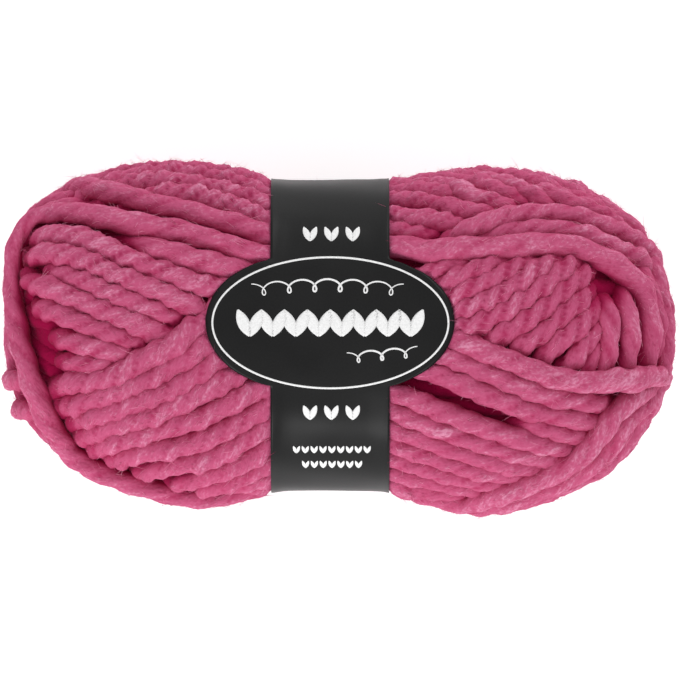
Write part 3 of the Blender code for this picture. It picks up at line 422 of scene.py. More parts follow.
    ("left_back_4", "left_under", 2.5, 14, 0.5, (("t", -5, 217.7, 0), ("t", -14, 217.7, 0), ("t", -28, 217.7, 0), ("t", -42, 218.7, 0), ("t", -55, 220.7, 0), ("t", -63, 223.7, 0), ("e", -17, 15.5, -0.3), ("e", -10, 16.5, -3.5))),
    ("left_back_5", "left_under", 2.5, 13, 0.5, (("t", -5, 226.2, 0), ("t", -14, 226.2, 0), ("t", -28, 226.6, 0), ("t", -42, 227.2, 0), ("t", -55, 227.7, 0), ("e", -12.7, 11, 0), ("e", -9.1, 20, 0.4), ("e", -8, 27, -1.5), ("e", -6.9, 33, -5))),
    ("left_back_6", "left_under", 2.5, 15, 0.5, (("t", -5, 234.8, 0), ("t", -14, 234.8, 0), ("t", -28, 235.5, 0), ("t", -42, 236.4, 0), ("t", -55, 237.1, 0), ("e", -10, 11, 0), ("e", -6.8, 20, 0.4), ("e", -5.9, 27, -1.5), ("e", -5, 33, -5))),
    ("left_back_7", "left_under", 2.5, 17, 0.5, (("t", -5, 243.3, 0), ("t", -14, 243.3, 0), ("t", -28, 242.7, 0), ("t", -42, 241.8, 0), ("t", -55, 241.2, 0), ("e", -7, 11, 0), ("e", -4.3, 20, 0.4), ("e", -3.6, 27, -1.5), ("e", -2.9, 33, -5))),
    ("left_back_8", "left_under", 2.5, 14, 0.5, (("t", -5, 251.9, 0), ("t", -14, 251.9, 0), ("t", -28, 251.3, 0), ("t", -42, 250.6, 0), ("t", -55, 250, 0), ("e", -3.7, 11, 0), ("e", -1.6, 20, 0.4), ("e", -1.1, 27, -1.5), ("e", -0.6, 33, -5))),
    ("left_back_9", "left_under", 2.5, 13, 0.5, (("t", -5, 260.4, 0), ("t", -14, 260.4, 0), ("t", -28, 261.2, 0), ("t", -42, 262.2, 0), ("t", -55, 263, 0), ("e", -0.2, 11, 0), ("e", 1.3, 20, 0.8), ("e", 1.5, 27, -1.5), ("e", 1.7, 33, -5))),
    ("left_back_10", "left_under", 2.5, 15, 0.5, (("t", -5, 268.9, 0), ("t", -14, 268.9, 0), ("t", -28, 269.3, 0), ("t", -42, 269.8, 0), ("t", -55, 270.1, 0), ("e", 3.3, 11, 0), ("e", 4.2, 20, 0.8), ("e", 4.2, 27, -1.5), ("e", 4.2, 33, -5))),
    ("left_back_11", "left_under", 2.5, 17, 0.5, (("t", -5, 277.5, 0), ("t", -14, 277.5, 0), ("t", -28, 276.6, 0), ("t", -42, 275.5, 0), ("t", -55, 274.6, 0), ("e", 6.8, 11, 0), ("e", 7.2, 20, 0.4), ("e", 6.9, 27, -1.5), ("e", 6.7, 33, -5))),
    ("left_back_12", "left_under", 2.5, 14, 0.5, (("t", -5, 286.1, 0), ("t", -14, 286.1, 0), ("t", -28, 285.9, 0), ("t", -42, 285.7, 0), ("t", -55, 285.6, 0), ("e", 10.3, 11, 0), ("e", 10.1, 20, 0.4), ("e", 9.6, 27, -1.5), ("e", 9.1, 33, -5))),
    ("left_back_13", "left_under", 2.5, 13, 0.5, (("t", -5, 294.6, 0), ("t", -14, 294.6, 0), ("t", -28, 295.5, 0), ("t", -42, 296.7, 0), ("t", -55, 297.6, 0), ("e", 13.6, 11, 0), ("e", 12.8, 20, 0.4), ("e", 12.1, 27, -1.5), ("e", 11.4, 33, -5))),
    ("left_back_14", "left_under", 2.5, 15, 0.5, (("t", -5, 303.1, 0), ("t", -14, 303.1, 0), ("t", -28, 303.1, 0), ("t", -42, 302.9, 0), ("t", -55, 302.8, 0), ("e", 16.7, 11, 0), ("e", 15.4, 20, 0.4), ("e", 14.5, 27, -1.5), ("e", 13.5, 33, -5))),
    ("left_back_15", "left_under", 2.5, 17, 0.5, (("t", -5, 311.7, 0), ("t", -14, 311.7, 0), ("t", -28, 310.8, 0), ("t", -42, 309.7, 0), ("t", -55, 308.8, 0), ("e", 19.5, 11, 0), ("e", 17.8, 20, 0.4), ("e", 16.6, 27, -1.5), ("e", 15.5, 33, -5))),
    ("left_back_16", "left_under", 2.5, 14, 0.5, (("t", -5, 320.2, 0), ("t", -14, 320.2, 0), ("t", -28, 320.2, 0), ("t", -42, 319.2, 0), ("t", -55, 317.2, 0), ("t", -64, 315.2, 0), ("e", 21, 15.3, -0.3), ("e", 14, 17.3, -3.5))),
    ("left_back_17", "left_under", 2.5, 13, 0.5, (("t", -5, 328.8, 0), ("t", -14, 328.8, 0), ("t", -28, 328.8, 0), ("t", -42, 327.8, 0), ("t", -55, 325.8, 0), ("t", -64, 323.8, 0), ("e", 21, 18.7, -0.3), ("e", 14, 20.7, -3.5))),
    ("left_nub_1", "left_under", 2.15, 14, 0.45, (("t", -56, 262, -3.5), ("t", -63, 256, -1), ("p", -68.4, -6, 10), ("p", -71.2, -7.5, 16), ("p", -72.7, -8.8, 23), ("p", -72.8, -9.2, 29), ("p", -71.9, -9.3, 34), ("p", -70, -9.2, 39), ("p", -67.6, -9, 43), ("p", -64, -8.8, 46))),
    ("left_nub_2", "left_under", 2.25, 14, 0.45, (("t", -54, 240, -3.5), ("t", -62, 238, -1), ("p", -66, -12.5, 12.5), ("p", -69, -14.5, 18.5), ("p", -70.4, -15.4, 24.5), ("p", -70.3, -15.7, 30), ("p", -68.8, -15.6, 35), ("p", -66.5, -15.4, 39.5), ("p", -63.5, -15, 43), ("p", -60, -14.8, 45))),
    ("right_back_1", "right_under", 2.5, 14, 0.5, (("t", 2, 190, 0), ("t", 11, 190, 0), ("t", 24, 191, 0), ("t", 38, 192, 0), ("t", 50, 192.5, 0), ("t", 59, 192.5, -0.6), ("t", 66, 190, -3.5))),
    ("right_back_2", "right_under", 2.5, 16, 0.5, (("t", 2, 198.7, 0), ("t", 11, 198.7, 0), ("t", 24, 198.7, 0), ("t", 38, 198.8, 0), ("t", 50, 198.8, 0), ("t", 59, 198.8, -0.6), ("t", 66, 198.7, -3.5))),
    ("right_back_3", "right_under", 2.5, 13, 0.5, (("t", 2, 207.4, 0), ("t", 11, 207.4, 0), ("t", 24, 206.3, 0), ("t", 38, 205.3, 0), ("t", 50, 204.7, 0), ("t", 59, 204.7, -0.6), ("t", 66, 207.4, -3.5))),
    ("right_back_4", "right_under", 2.5, 15, 0.5, (("t", 2, 216.1, 0), ("t", 11, 216.1, 0), ("t", 24, 217.1, 0), ("t", 38, 218.1, 0), ("t", 50, 218.7, 0), ("t", 59, 218.7, -0.6), ("t", 66, 216.1, -3.5))),
    ("right_back_5", "right_under", 2.5, 14, 0.5, (("t", 2, 224.8, 0), ("t", 11, 224.8, 0), ("t", 24, 224.8, 0), ("t", 38, 224.9, 0), ("t", 50, 224.9, 0), ("t", 59, 224.9, -0.6), ("t", 66, 224.8, -3.5))),
    ("right_back_6", "right_under", 2.5, 16, 0.5, (("t", 2, 233.5, 0), ("t", 11, 233.5, 0), ("t", 24, 232.4, 0), ("t", 38, 231.4, 0), ("t", 50, 230.9, 0), ("t", 59, 230.9, -0.6), ("t", 66, 233.5, -3.5))),
    ("right_back_7", "right_under", 2.5, 13, 0.5, (("t", 2, 242.2, 0), ("t", 11, 242.2, 0), ("t", 24, 243.2, 0), ("t", 38, 244.3, 0), ("t", 50, 244.8, 0), ("t", 59, 244.8, -0.6), ("t", 66, 242.2, -3.5))),
    ("right_back_8", "right_under", 2.5, 15, 0.5, (("t", 2, 250.9, 0), ("t", 11, 250.9, 0), ("t", 24, 250.9, 0), ("t", 38, 250.9, 0), ("t", 50, 250.9, 0), ("t", 59, 250.9, -0.6), ("t", 66, 250.9, -3.5))),
    ("right_back_9", "right_under", 2.5, 14, 0.5, (("t", 2, 259.6, 0), ("t", 11, 259.6, 0), ("t", 24, 258.6, 0), ("t", 38, 257.5, 0), ("t", 50, 257, 0), ("t", 59, 257, -0.6), ("t", 66, 259.6, -3.5))),
    ("right_back_10", "right_under", 2.5, 16, 0.5, (("t", 2, 268.3, 0), ("t", 11, 268.3, 0), ("t", 24, 269.3, 0), ("t", 38, 270.4, 0), ("t", 50, 270.9, 0), ("t", 59, 270.9, -0.6), ("t", 66, 268.3, -3.5))),
    ("right_back_11", "right_under", 2.5, 13, 0.5, (("t", 2, 277, 0), ("t", 11, 277, 0), ("t", 24, 277, 0), ("t", 38, 277, 0), ("t", 50, 277, 0), ("t", 59, 277, -0.6), ("t", 66, 277, -3.5))),
    ("right_back_12", "right_under", 2.5, 15, 0.5, (("t", 2, 285.7, 0), ("t", 11, 285.7, 0), ("t", 24, 284.7, 0), ("t", 38, 283.6, 0), ("t", 50, 283.1, 0), ("t", 59, 283.1, -0.6), ("t", 66, 285.7, -3.5))),
    ("right_back_13", "right_under", 2.5, 14, 0.5, (("t", 2, 294.4, 0), ("t", 11, 294.4, 0), ("t", 24, 295.5, 0), ("t", 38, 296.5, 0), ("t", 50, 297, 0), ("t", 59, 297, -0.6), ("t", 66, 294.4, -3.5))),
    ("right_back_14", "right_under", 2.5, 16, 0.5, (("t", 2, 303.1, 0), ("t", 11, 303.1, 0), ("t", 24, 303.1, 0), ("t", 38, 303, 0), ("t", 50, 303, 0), ("t", 59, 303, -0.6), ("t", 66, 303.1, -3.5))),
    ("right_back_15", "right_under", 2.5, 13, 0.5, (("t", 2, 311.8, 0), ("t", 11, 311.8, 0), ("t", 24, 310.8, 0), ("t", 38, 309.8, 0), ("t", 50, 309.3, 0), ("t", 59, 309.3, -0.6), ("t", 66, 311.8, -3.5))),
    ("right_back_16", "right_under", 2.5, 15, 0.5, (("t", 2, 320.5, 0), ("t", 11, 320.5, 0), ("t", 24, 321.6, 0), ("t", 38, 322.6, 0), ("t", 50, 323.2, 0), ("t", 59, 323.2, -0.6), ("t", 66, 320.5, -3.5))),
    ("right_turn_1", "right_under", 2.5, 18, 0.45, (("t", 40, 0.9, -4), ("t", 50, 3.9, -1.5), ("t", 59, 6.9, 0), ("t", 65, 7.9, 0), ("e", 12, 36.5, 0), ("e", 4, 36.5, 0), ("e", -4, 36.5, 0), ("e", -12, 36.5, 0), ("t", 64, 172.1, 0), ("t", 54, 173.1, 0), ("t", 40, 174.1, -0.5), ("t", 28, 175.1, -3.5))),
    ("right_turn_2", "right_under", 2.5, 18, 0.45, (("t", 40, -9.7, -4), ("t", 50, -6.7, -1.5), ("t", 59, -3.7, 0), ("t", 65, -2.7, 0), ("e", 13, 30, 0), ("e", 6, 28.2, 0), ("e", -3, 27.5, 0), ("e", -12, 29.5, 0), ("t", 64, 182.7, 0), ("t", 54, 183.7, 0), ("t", 40, 184.7, -0.5), ("t", 28, 185.7, -3.5))),
    ("right_turn_3", "right_under", 2.5, 18, 0.45, (("t", 40, -20.3, -4), ("t", 50, -17.3, -1.5), ("t", 59, -14.3, 0), ("t", 65, -13.3, 0), ("e", 12, 24.5, 0), ("e", 4, 24.5, 0), ("e", -4, 24.5, 0), ("e", -12, 24.5, 0), ("t", 64, 193.3, 0), ("t", 54, 194.3, 0), ("t", 40, 195.3, -0.5), ("t", 28, 196.3, -3.5))),
    ("right_turn_4", "right_under", 2.5, 18, 0.45, (("t", 40, -31.4, -4), ("t", 50, -28.4, -1.5), ("t", 59, -25.4, 0), ("t", 65, -24.4, 0), ("e", 12, 19, 0), ("e", 4, 19, 0), ("e", -4, 19, 0), ("e", -12, 19, 0), ("t", 64, 204.4, 0), ("t", 54, 205.4, 0), ("t", 40, 206.4, -0.5), ("t", 28, 207.4, -3.5))),
    ("right_turn_5", "right_under", 2.5, 18, 0.45, (("t", 40, -43.6, -4), ("t", 50, -40.6, -1.5), ("t", 59, -37.6, 0), ("t", 65, -36.6, 0), ("e", 12, 14, 0), ("e", 4, 14, 0), ("e", -4, 14, 0), ("e", -12, 14, 0), ("t", 64, 216.6, 0), ("t", 54, 217.6, 0), ("t", 40, 218.6, -0.5), ("t", 28, 219.6, -3.5))),
    ("left_fill_1", "left_under", 2.4, 15, 0.5, (("t", -66, 171, -3.5), ("t", -60, 175.5, -1), ("t", -50, 178, -0.2), ("t", -40, 179.3, -0.2), ("t", -32, 180.5, -0.8), ("t", -26, 181.5, -3))),
    ("left_fill_2", "left_under", 2.4, 15, 0.5, (("t", -63, 161, -4.2), ("t", -57, 167, -1.6), ("t", -49, 171, -0.6), ("t", -42, 174, -1), ("t", -36, 176.5, -3))),
    ("left_rise_11", "left_top", 2.35, 13, 0.42, (("t", -5, 163, 0), ("t", -14, 163.5, 0), ("t", -20, 165, -0.3), ("t", -26, 168, -1.5), ("t", -33, 171.5, -3.8))),
    ("left_side_4", "left_under", 2.3, 15, 0.5, (("t", -5, -23, 0), ("t", -14, -23.5, 0), ("t", -26, -24, 0), ("t", -38, -25, 0), ("t", -50, -26, 0), ("t", -60, -27, 0), ("t", -67, -27, -2.5), ("e", 18, 17, -4))),
    ("right_fold_7", "right_top", 2.35, 12.5, 0.52, (("t", 34, 19, -3.2), ("t", 41, 20, -1), ("t", 49, 20.5, 0), ("t", 56, 19.5, 0), ("t", 62, 16, -0.3), ("t", 66, 11, -1.2), ("e", 13, 34, -3.5))),
    ("right_fold_8", "right_top", 2.3, 12.5, 0.52, (("t", 42, 9, -3.2), ("t", 49, 11, -1), ("t", 56, 11, -0.2), ("t", 62, 8, -0.3), ("t", 66, 3, -1.5), ("e", 15, 28, -4))),
    ("right_wrap_mid", "right_under", 2.4, 16, 0.5, (("f", 61.9, -17.4, -2.5), ("f", 60.1, -19.6, -1.2), ("f", 57, -22.9, -1), ("f", 52.8, -26.3, -1), ("f", 47.9, -28.9, -1.1), ("f", 42.3, -31.2, -1.4), ("f", 36.7, -32.9, -2.8))),
    ("right_wrap_low", "right_under", 2.4, 16, 0.5, (("t", 40, 170, -3), ("t", 48, 167.5, -0.9), ("t", 57, 165, -0.5), ("t", 64, 163.5, -0.7), ("e", -17, 39, -1.3), ("e", -11, 39, -3.5))),
    ("right_turn_0", "right_under", 2.45, 18, 0.45, (("e", 21, 42, -3.5), ("e", 16, 41.5, -1), ("e", 10, 41, -0.4), ("e", 3, 41, -0.4), ("e", -3, 41, -1.2), ("e", -9, 41, -3.5))),
    ("right_fold_0", "right_top", 2.35, 12.5, 0.52, (("t", 2, 13, 0), ("t", 10, 14, 0), ("t", 18, 17, 0), ("t", 26, 22.5, -0.2), ("t", 33, 28, -1.2), ("t", 39, 33, -3.6))),
    ("right_fold_9", "right_under", 2.4, 12.5, 0.52, (("t", 14, -37, -2.5), ("t", 22, -34.5, -0.6), ("t", 30, -32, 0), ("t", 38, -29.5, -0.3), ("t", 46, -27, -1.2), ("t", 53, -25, -3.5))),
    ("left_corner_1", "left_under", 2.4, 16, 0.5, (("t", -51, 13, -3.4), ("t", -58, 11.5, -0.9), ("t", -64, 8.5, -0.4), ("e", 23, 30.5, -0.6), ("e", 17, 27, -1.6), ("e", 11, 25.5, -4))),
    ("left_corner_2", "left_under", 2.4, 16, 0.5, (("t", -54, 22, -3.8), ("t", -60, 20, -1.4), ("t", -65, 16, -0.8), ("e", 21, 36, -1), ("e", 14, 35.5, -1.6), ("e", 7, 35, -4))),
    ("left_inner_1", "left_under", 2.4, 16, 0.5, (("e", 19, 33, -4.6), ("e", 14, 33.5, -2.8), ("e", 7, 34, -2.6), ("e", 0, 34, -2.6), ("e", -8, 33, -2.6), ("e", -15, 32, -2.8), ("e", -20, 31, -4.6))),
    ("left_inner_2", "left_under", 2.4, 16, 0.5, (("e", 17, 38, -4.8), ("e", 12, 38.5, -3), ("e", 5, 39, -2.9), ("e", -3, 38.5, -2.9), ("e", -11, 37.5, -2.9), ("e", -18, 36, -3), ("e", -23, 35, -4.8))),
    ("left_inner_3", "left_under", 2.4, 16, 0.5, (("e", 13, 43, -5), ("e", 8, 43, -3.8), ("e", 1, 43, -3.6), ("e", -6, 42.5, -3.6), ("e", -13, 41.5, -3.6), ("e", -19, 40, -3.8), ("e", -24, 39, -5))),
    ("right_turn_low", "right_under", 2.35, 16, 0.5, (("e", 21, 9.5, -4.2), ("e", 15, 8.5, -2), ("e", 8, 8, -1.3), ("e", 0, 8, -1.2), ("e", -8, 8, -1.4), ("e", -15, 8.5, -2.1), ("e", -21, 9.5, -4.2))),
    ("left_side_5", "left_under", 2.4, 16, 0.5, (("t", -47, -8, -3.4), ("t", -55, -12, -1), ("t", -62, -15, -0.4), ("e", 25, 22.5, -0.5), ("e", 19, 23, -2), ("e", 13, 24, -4))),
)
# strands-end

CONTACT = 0.87  # strands press into each other down to this share of their radii
SWELL = 1.07  # and are drawn a little thicker than their paths' radii
# felted groups are drawn thicker still, so that their turns merge
FELTED = {
    "left_crown": 1.19,
    "left_rise": 1.15,
    "left_fall": 1.10,
    "right_mid": 1.12,
    "right_near": 1.13,
    "right_fold": 1.15,
    "right_fall": 1.09,
}
# and press deeper into each other: the share of their radii that keeps them apart
PRESSED = {"left_crown": 0.86, "left_rise": 0.84, "right_fold": 0.92}
# where a turn is pulled thin: strand, x, y, how far round there, share of its width
THIN_PLACES = (
    ("left_wrap", -72.5, 20.0, 17.0, 0.66),
    ("left_ridge", -67.0, 25.5, 12.0, 0.84),
)
SIDE_OF = {"left": -1.0, "right": 1.0}
PATH_STEP = 1.6


def group_of(name):
    return "_".join(name.split("_")[:2])


def lay_strands():
    """Each strand's centreline on the form, before the strands press on each other."""
    laid = []
    for name, piece, radius, pitch, depth, path in STRANDS:
        side = SIDE_OF[name.split("_")[0]]
        found = [place(kind, a, b, h, side) for kind, a, b, h in path]
        points = [point for point, _ in found]
        gain = radius * (FELTED.get(group_of(name), SWELL) - SWELL)
        heights = [height - 0.7 * gain for _, height in found]
        line, height = curve_through(points, PATH_STEP, heights)
        for i in range(1, len(line) - 1):
            hit, normal = nearest(line[i])
            line[i] = hit + normal * height[i]
        laid.append((line, height))
    return laid


def settle(laid, rounds=14):
    """Presses the strands apart where they overlap, and keeps them smooth, near their places and under the band."""
    lines = [np.array(line) for line, _ in laid]
    sizes = [len(line) for line in lines]
    starts = np.concatenate([[0], np.cumsum(sizes)])
    points = np.vstack(lines)
    home = points.copy()
    height = np.concatenate([h for _, h in laid])
    strand = np.repeat(np.arange(len(lines)), sizes)
    index = np.arange(len(points)) - starts[strand]
    radius = np.repeat([row[2] for row in STRANDS], sizes)
    apart = radius * np.repeat(
        [PRESSED.get(group_of(row[0]), 1.0) for row in STRANDS], sizes
    )
    is_end = np.zeros(len(points), bool)
    is_end[starts[:-1]] = True
    is_end[starts[1:] - 1] = True
    before = np.maximum(np.arange(len(points)) - 1, 0)
    after = np.minimum(np.arange(len(points)) + 1, len(points) - 1)
    for _ in range(rounds):
        tree = kdtree.KDTree(len(points))
        for i, p in enumerate(points):
            tree.insert(p, i)
        tree.balance()
        a, b = [], []
        for i, p in enumerate(points):
            for _, j, _ in tree.find_range(p, 5.6):
                if j > i and (strand[i] != strand[j] or abs(index[i] - index[j]) > 5):
                    a.append(i)
                    b.append(j)
        a, b = np.array(a), np.array(b)
        away = points[a] - points[b]
        gap = np.maximum(np.linalg.norm(away, axis=1), 1e-3)
        need = (apart[a] + apart[b]) * CONTACT - gap
        push = np.maximum(need, 0)
        move = away / gap[:, None] * (push * 0.5)[:, None]
        total = np.zeros_like(points)
        count = np.zeros(len(points))
        np.add.at(total, a, move)
        np.add.at(total, b, -move)
        hit = (push > 0).astype(float)
        np.add.at(count, a, hit)
        np.add.at(count, b, hit)
        points = points + total / np.maximum(count, 1)[:, None] * 0.9
        # back towards the height that the path asks for
        for i in range(len(points)):
            spot, normal = nearest(points[i])
            off = height[i] - float(np.dot(points[i] - spot, normal))
            points[i] += normal * max(-0.6, min(0.6, off * 0.22))
        points += (home - points) * 0.07
        bend = 0.5 * (points[before] + points[after]) - points
        bend[is_end] = 0
        points += bend * 0.35
        points[:, 2] = np.maximum(points[:, 2], radius * 0.93)
        around = points - MIDDLE
        turns = np.arctan2(around[:, 2], around[:, 1])
        out = np.hypot(around[:, 1], around[:, 2])
        most = band_reach(points[:, 0], turns) - PAPER - 0.15 - radius * 0.96
        under = np.abs(points[:, 0] - BAND_X) < band_half_width(turns) + 0.6
        scale = np.where(under & (out > most), most / np.maximum(out, 1e-6), 1.0)
        points[:, 1] = BAND_CENTRE_Y + around[:, 1] * scale
        points[:, 2] = BAND_CENTRE_Z + around[:, 2] * scale
    return [points[starts[i] : starts[i + 1]] for i in range(len(lines))]


# ------------------------------------------------------------------ the tubes


def ply_profile(angle):
    """Distance to the outline of three plies side by side, 1 at its furthest, and how deep in a groove it is."""
    a, b = 0.46, 0.58
    period = 2 * math.pi / PLIES
    phi = (angle + period / 2) % period - period / 2
    r = a * np.cos(phi) + np.sqrt(b * b - (a * np.sin(phi)) ** 2)
    top, low = a + b, a * math.cos(period / 2) + math.sqrt(
        b * b - (a * math.sin(period / 2)) ** 2
    )
    return r / top, (top - r) / (top - low)


def frames_along(line):
    """A tangent and two directions across it at each point, without needless turning."""
    tangent = np.gradient(line, axis=0)
    tangent /= np.maximum(np.linalg.norm(tangent, axis=1, keepdims=True), 1e-9)
    first = np.cross(tangent[0], [0.3, 0.2, 1.0])
    first /= np.linalg.norm(first)
    across = [first]
    for t in tangent[1:]:
        n = across[-1] - t * np.dot(across[-1], t)
        across.append(n / max(np.linalg.norm(n), 1e-9))
    across = np.array(across)
    return tangent, across, np.cross(tangent, across)


def band_gap(points):
    """How far points may lie from the band's middle line, and how far they do, in mm; and the angle."""
    y, z = points[..., 1] - BAND_CENTRE_Y, points[..., 2] - BAND_CENTRE_Z
    turns = np.arctan2(z, y)
    out = np.hypot(y, z)
    beyond = np.abs(points[..., 0] - BAND_X) - band_half_width(turns)
    # around the plate the nearest edge may lie in the turning direction
    for shift in (-0.16, -0.11, -0.07, -0.035, 0.035, 0.07, 0.11, 0.16):
        width = band_half_width(turns + shift)
        there = np.hypot(
            np.maximum(np.abs(points[..., 0] - BAND_X) - width, 0), shift * out
        )
        beyond = np.minimum(beyond, there)
    allowed = band_reach(points[..., 0], turns) - PAPER - 0.5
    rise = np.maximum(beyond - 0.25, 0)
    return allowed + rise * 1.6 + rise**2 * 1.2, out, turns


def press_under_band(points):
    """Flattens what would stick up through the band's paper."""
    allowed, out, turns = band_gap(points)
    scale = np.where(out > allowed, allowed / np.maximum(out, 1e-6), 1.0)
    points[..., 1] = BAND_CENTRE_Y + (points[..., 1] - BAND_CENTRE_Y) * scale
    points[..., 2] = BAND_CENTRE_Z + (points[..., 2] - BAND_CENTRE_Z) * scale
    return points


def thinned(name, line):
    """The share of its width that a strand has at each point of its line."""
    share = np.ones(len(line))
    for strand, x, y, reach_mm, least in THIN_PLACES:
        if strand == name:
            far = np.hypot(line[:, 0] - x, line[:, 1] - y) / reach_mm
            share *= 1 - (1 - least) * smooth(np.clip(1 - far, 0, 1) * 1.6)
    return share


def tube(line, radius, pitch, depth, seed, sides=SIDES, step=RING_STEP, name="", lumps=1.0):
    """One strand: corners, faces, and what its material needs to know at each corner."""
    line = curve_through(line, step)
    thin = thinned(name, line)[:, None]
    count = len(line)
    tangent, across, up = frames_along(line)
    s = np.concatenate([[0], np.cumsum(np.linalg.norm(np.diff(line, axis=0), axis=1))])
    # the twist isn't even: it runs a little tighter and slacker along the strand
    slack = 0.35 * np.sin(s / 11.0 + seed) + 0.25 * np.sin(s / 5.3 + seed * 2.3)
    twist = seed * 1.7 - 2 * math.pi * s / pitch + slack
    angle = np.linspace(0, 2 * math.pi, sides, endpoint=False)
    relative = angle[None, :] - twist[:, None]
    shape, groove = ply_profile(relative)
    swell = (
        1
        + 0.035 * np.sin(s / 6.1 + seed * 3.1)
        + 0.03 * np.sin(s / 3.3 + seed * 1.3)
        + 0.02 * np.sin(s / 1.9 + seed * 5.7)
    )
    # every ply has thicker and thinner places of its own
    ply = np.floor((relative + math.pi / PLIES) / (2 * math.pi / PLIES)) % PLIES
    own = 0.05 * np.sin(s[:, None] / 2.7 + ply * 2.1 + seed) + 0.045 * np.sin(
        s[:, None] / 1.15 + ply * 4.3 + seed * 2.9
    )
    own = own * (1 - groove) * lumps
    r = radius * thin * swell[:, None] * (1 - depth * (1 - shape) + own)
    corners = np.empty((count, sides, 3))
    circle = (
        across[:, None, :] * np.cos(angle)[None, :, None]
        + up[:, None, :] * np.sin(angle)[None, :, None]
    )
    rough = np.empty((count, sides))
    for i in range(count):
        for j in range(sides):
            p = (
                s[i] * 0.42 + seed * 17.0,
                math.cos(relative[i, j]) * 1.5,
                math.sin(relative[i, j]) * 1.5,
            )
            rough[i, j] = noise.noise(p) * 0.17 + noise.noise(
                (p[0] * 2.6, p[1] * 2.1, p[2] * 2.1)
            ) * 0.065
    r = r + rough * lumps
    # the ends close in a dome
    for i, share in enumerate((0.35, 0.72, 0.92)):
        r[i] *= share
        r[-1 - i] *= share
    corners = press_under_band(line[:, None, :] + circle * r[:, :, None])
    corners[:, :, 2] = np.maximum(corners[:, :, 2], 0.02)
    lean = angle[None, :] - 0.55 * twist[:, None]
    fibre = np.stack(
        [
            np.broadcast_to(s[:, None], r.shape) + seed * 31.0,
            r * np.cos(lean),
            r * np.sin(lean),
        ],
        axis=2,
    )
    quads = []
    base = np.arange(count - 1)[:, None] * sides
    j = np.arange(sides)[None, :]
    k = (j + 1) % sides
    quads = np.stack(
        [base + j, base + k, base + sides + k, base + sides + j], axis=2
    ).reshape(-1, 4)
    tips = count * sides
    caps = []
    for q in range(sides):
        w = (q + 1) % sides
        caps.append((tips, w, q))
        caps.append((tips + 1, (count - 1) * sides + q, (count - 1) * sides + w))
    points = np.vstack([corners.reshape(-1, 3), line[0] - tangent[0] * 0.3, line[-1] + tangent[-1] * 0.3])
    fibre = np.vstack([fibre.reshape(-1, 3), fibre[0].mean(axis=0), fibre[-1].mean(axis=0)])
    # painted shade in the grooves: deeper grooves get more of it, and some places of them are felted over
    felt = np.array([noise.noise((v * 0.33, seed * 3.7, 0.0)) for v in s])
    groove = groove * min(1.25, 0.35 + depth * 0.9) * np.clip(0.85 + 1.1 * felt, 0.25, 1.3)[:, None]
    groove = np.concatenate([groove.reshape(-1), [0, 0]])
    return points, quads, np.array(caps), fibre, groove


def mesh_piece(name, points, quads, tris, mat, attributes=(), smooth_shade=True):
    """A mesh object from arrays, in mm, with float attributes on its corners."""
    mesh = bpy.data.meshes.new(name)
    quads = np.asarray(quads, np.int32).reshape(-1, 4)
    tris = np.asarray(tris, np.int32).reshape(-1, 3)
    mesh.vertices.add(len(points))
    mesh.vertices.foreach_set(
        "co", (np.asarray(points) * MM).astype(np.float32).ravel()
    )
    mesh.loops.add(len(quads) * 4 + len(tris) * 3)
    mesh.loops.foreach_set("vertex_index", np.concatenate([quads.ravel(), tris.ravel()]))
    mesh.polygons.add(len(quads) + len(tris))
    starts = np.concatenate(
        [np.arange(len(quads)) * 4, len(quads) * 4 + np.arange(len(tris)) * 3]
    )
    mesh.polygons.foreach_set("loop_start", starts.astype(np.int32))
    mesh.update(calc_edges=True)
    mesh.validate()
    if smooth_shade:
        mesh.shade_smooth()
    for label, kind, values in attributes:
        made = mesh.attributes.new(label, kind, "POINT")
        field = "vector" if kind == "FLOAT_VECTOR" else "value"
        made.data.foreach_set(field, np.asarray(values, np.float32).ravel())
    mesh.materials.append(mat)
    made = bpy.data.objects.new(name, mesh)
    bpy.context.scene.collection.objects.link(made)
    return made


# -------------------------------------------------------------- the materials


def new_material(name):
    made = bpy.data.materials.new(name)
    made.use_nodes = True
    nodes, links = made.node_tree.nodes, made.node_tree.links
    return made, nodes, links, nodes["Principled BSDF"]


def math_node(nodes, links, kind, a, b, clamp=False):
    made = nodes.new("ShaderNodeMath")
    made.operation = kind
    made.use_clamp = clamp
    for socket, value in zip(made.inputs, (a, b)):
        if isinstance(value, (int, float)):
            socket.default_value = value
        else:
            links.new(value, socket)
    return made.outputs[0]


def noise_node(nodes, links, vector, scale, detail, rough=0.5):
    made = nodes.new("ShaderNodeTexNoise")
    made.inputs["Scale"].default_value = scale
    made.inputs["Detail"].default_value = detail
    made.inputs["Roughness"].default_value = rough
    links.new(vector, made.inputs["Vector"])
    return made.outputs["Fac"]


def scaled(nodes, links, vector, scale):
    made = nodes.new("ShaderNodeVectorMath")
    made.operation = "MULTIPLY"
    links.new(vector, made.inputs[0])
    made.inputs[1].default_value = scale
    return made.outputs[0]


def ramp_node(nodes, links, factor, stops):
    made = nodes.new("ShaderNodeValToRGB")
    ramp = made.color_ramp
    ramp.interpolation = "EASE"
    ramp.elements[0].position, ramp.elements[0].color = stops[0]
    ramp.elements[1].position, ramp.elements[1].color = stops[-1]
    for position, colour in stops[1:-1]:
        element = ramp.elements.new(position)
        element.color = colour
    links.new(factor, made.inputs[0])
    return made.outputs[0]


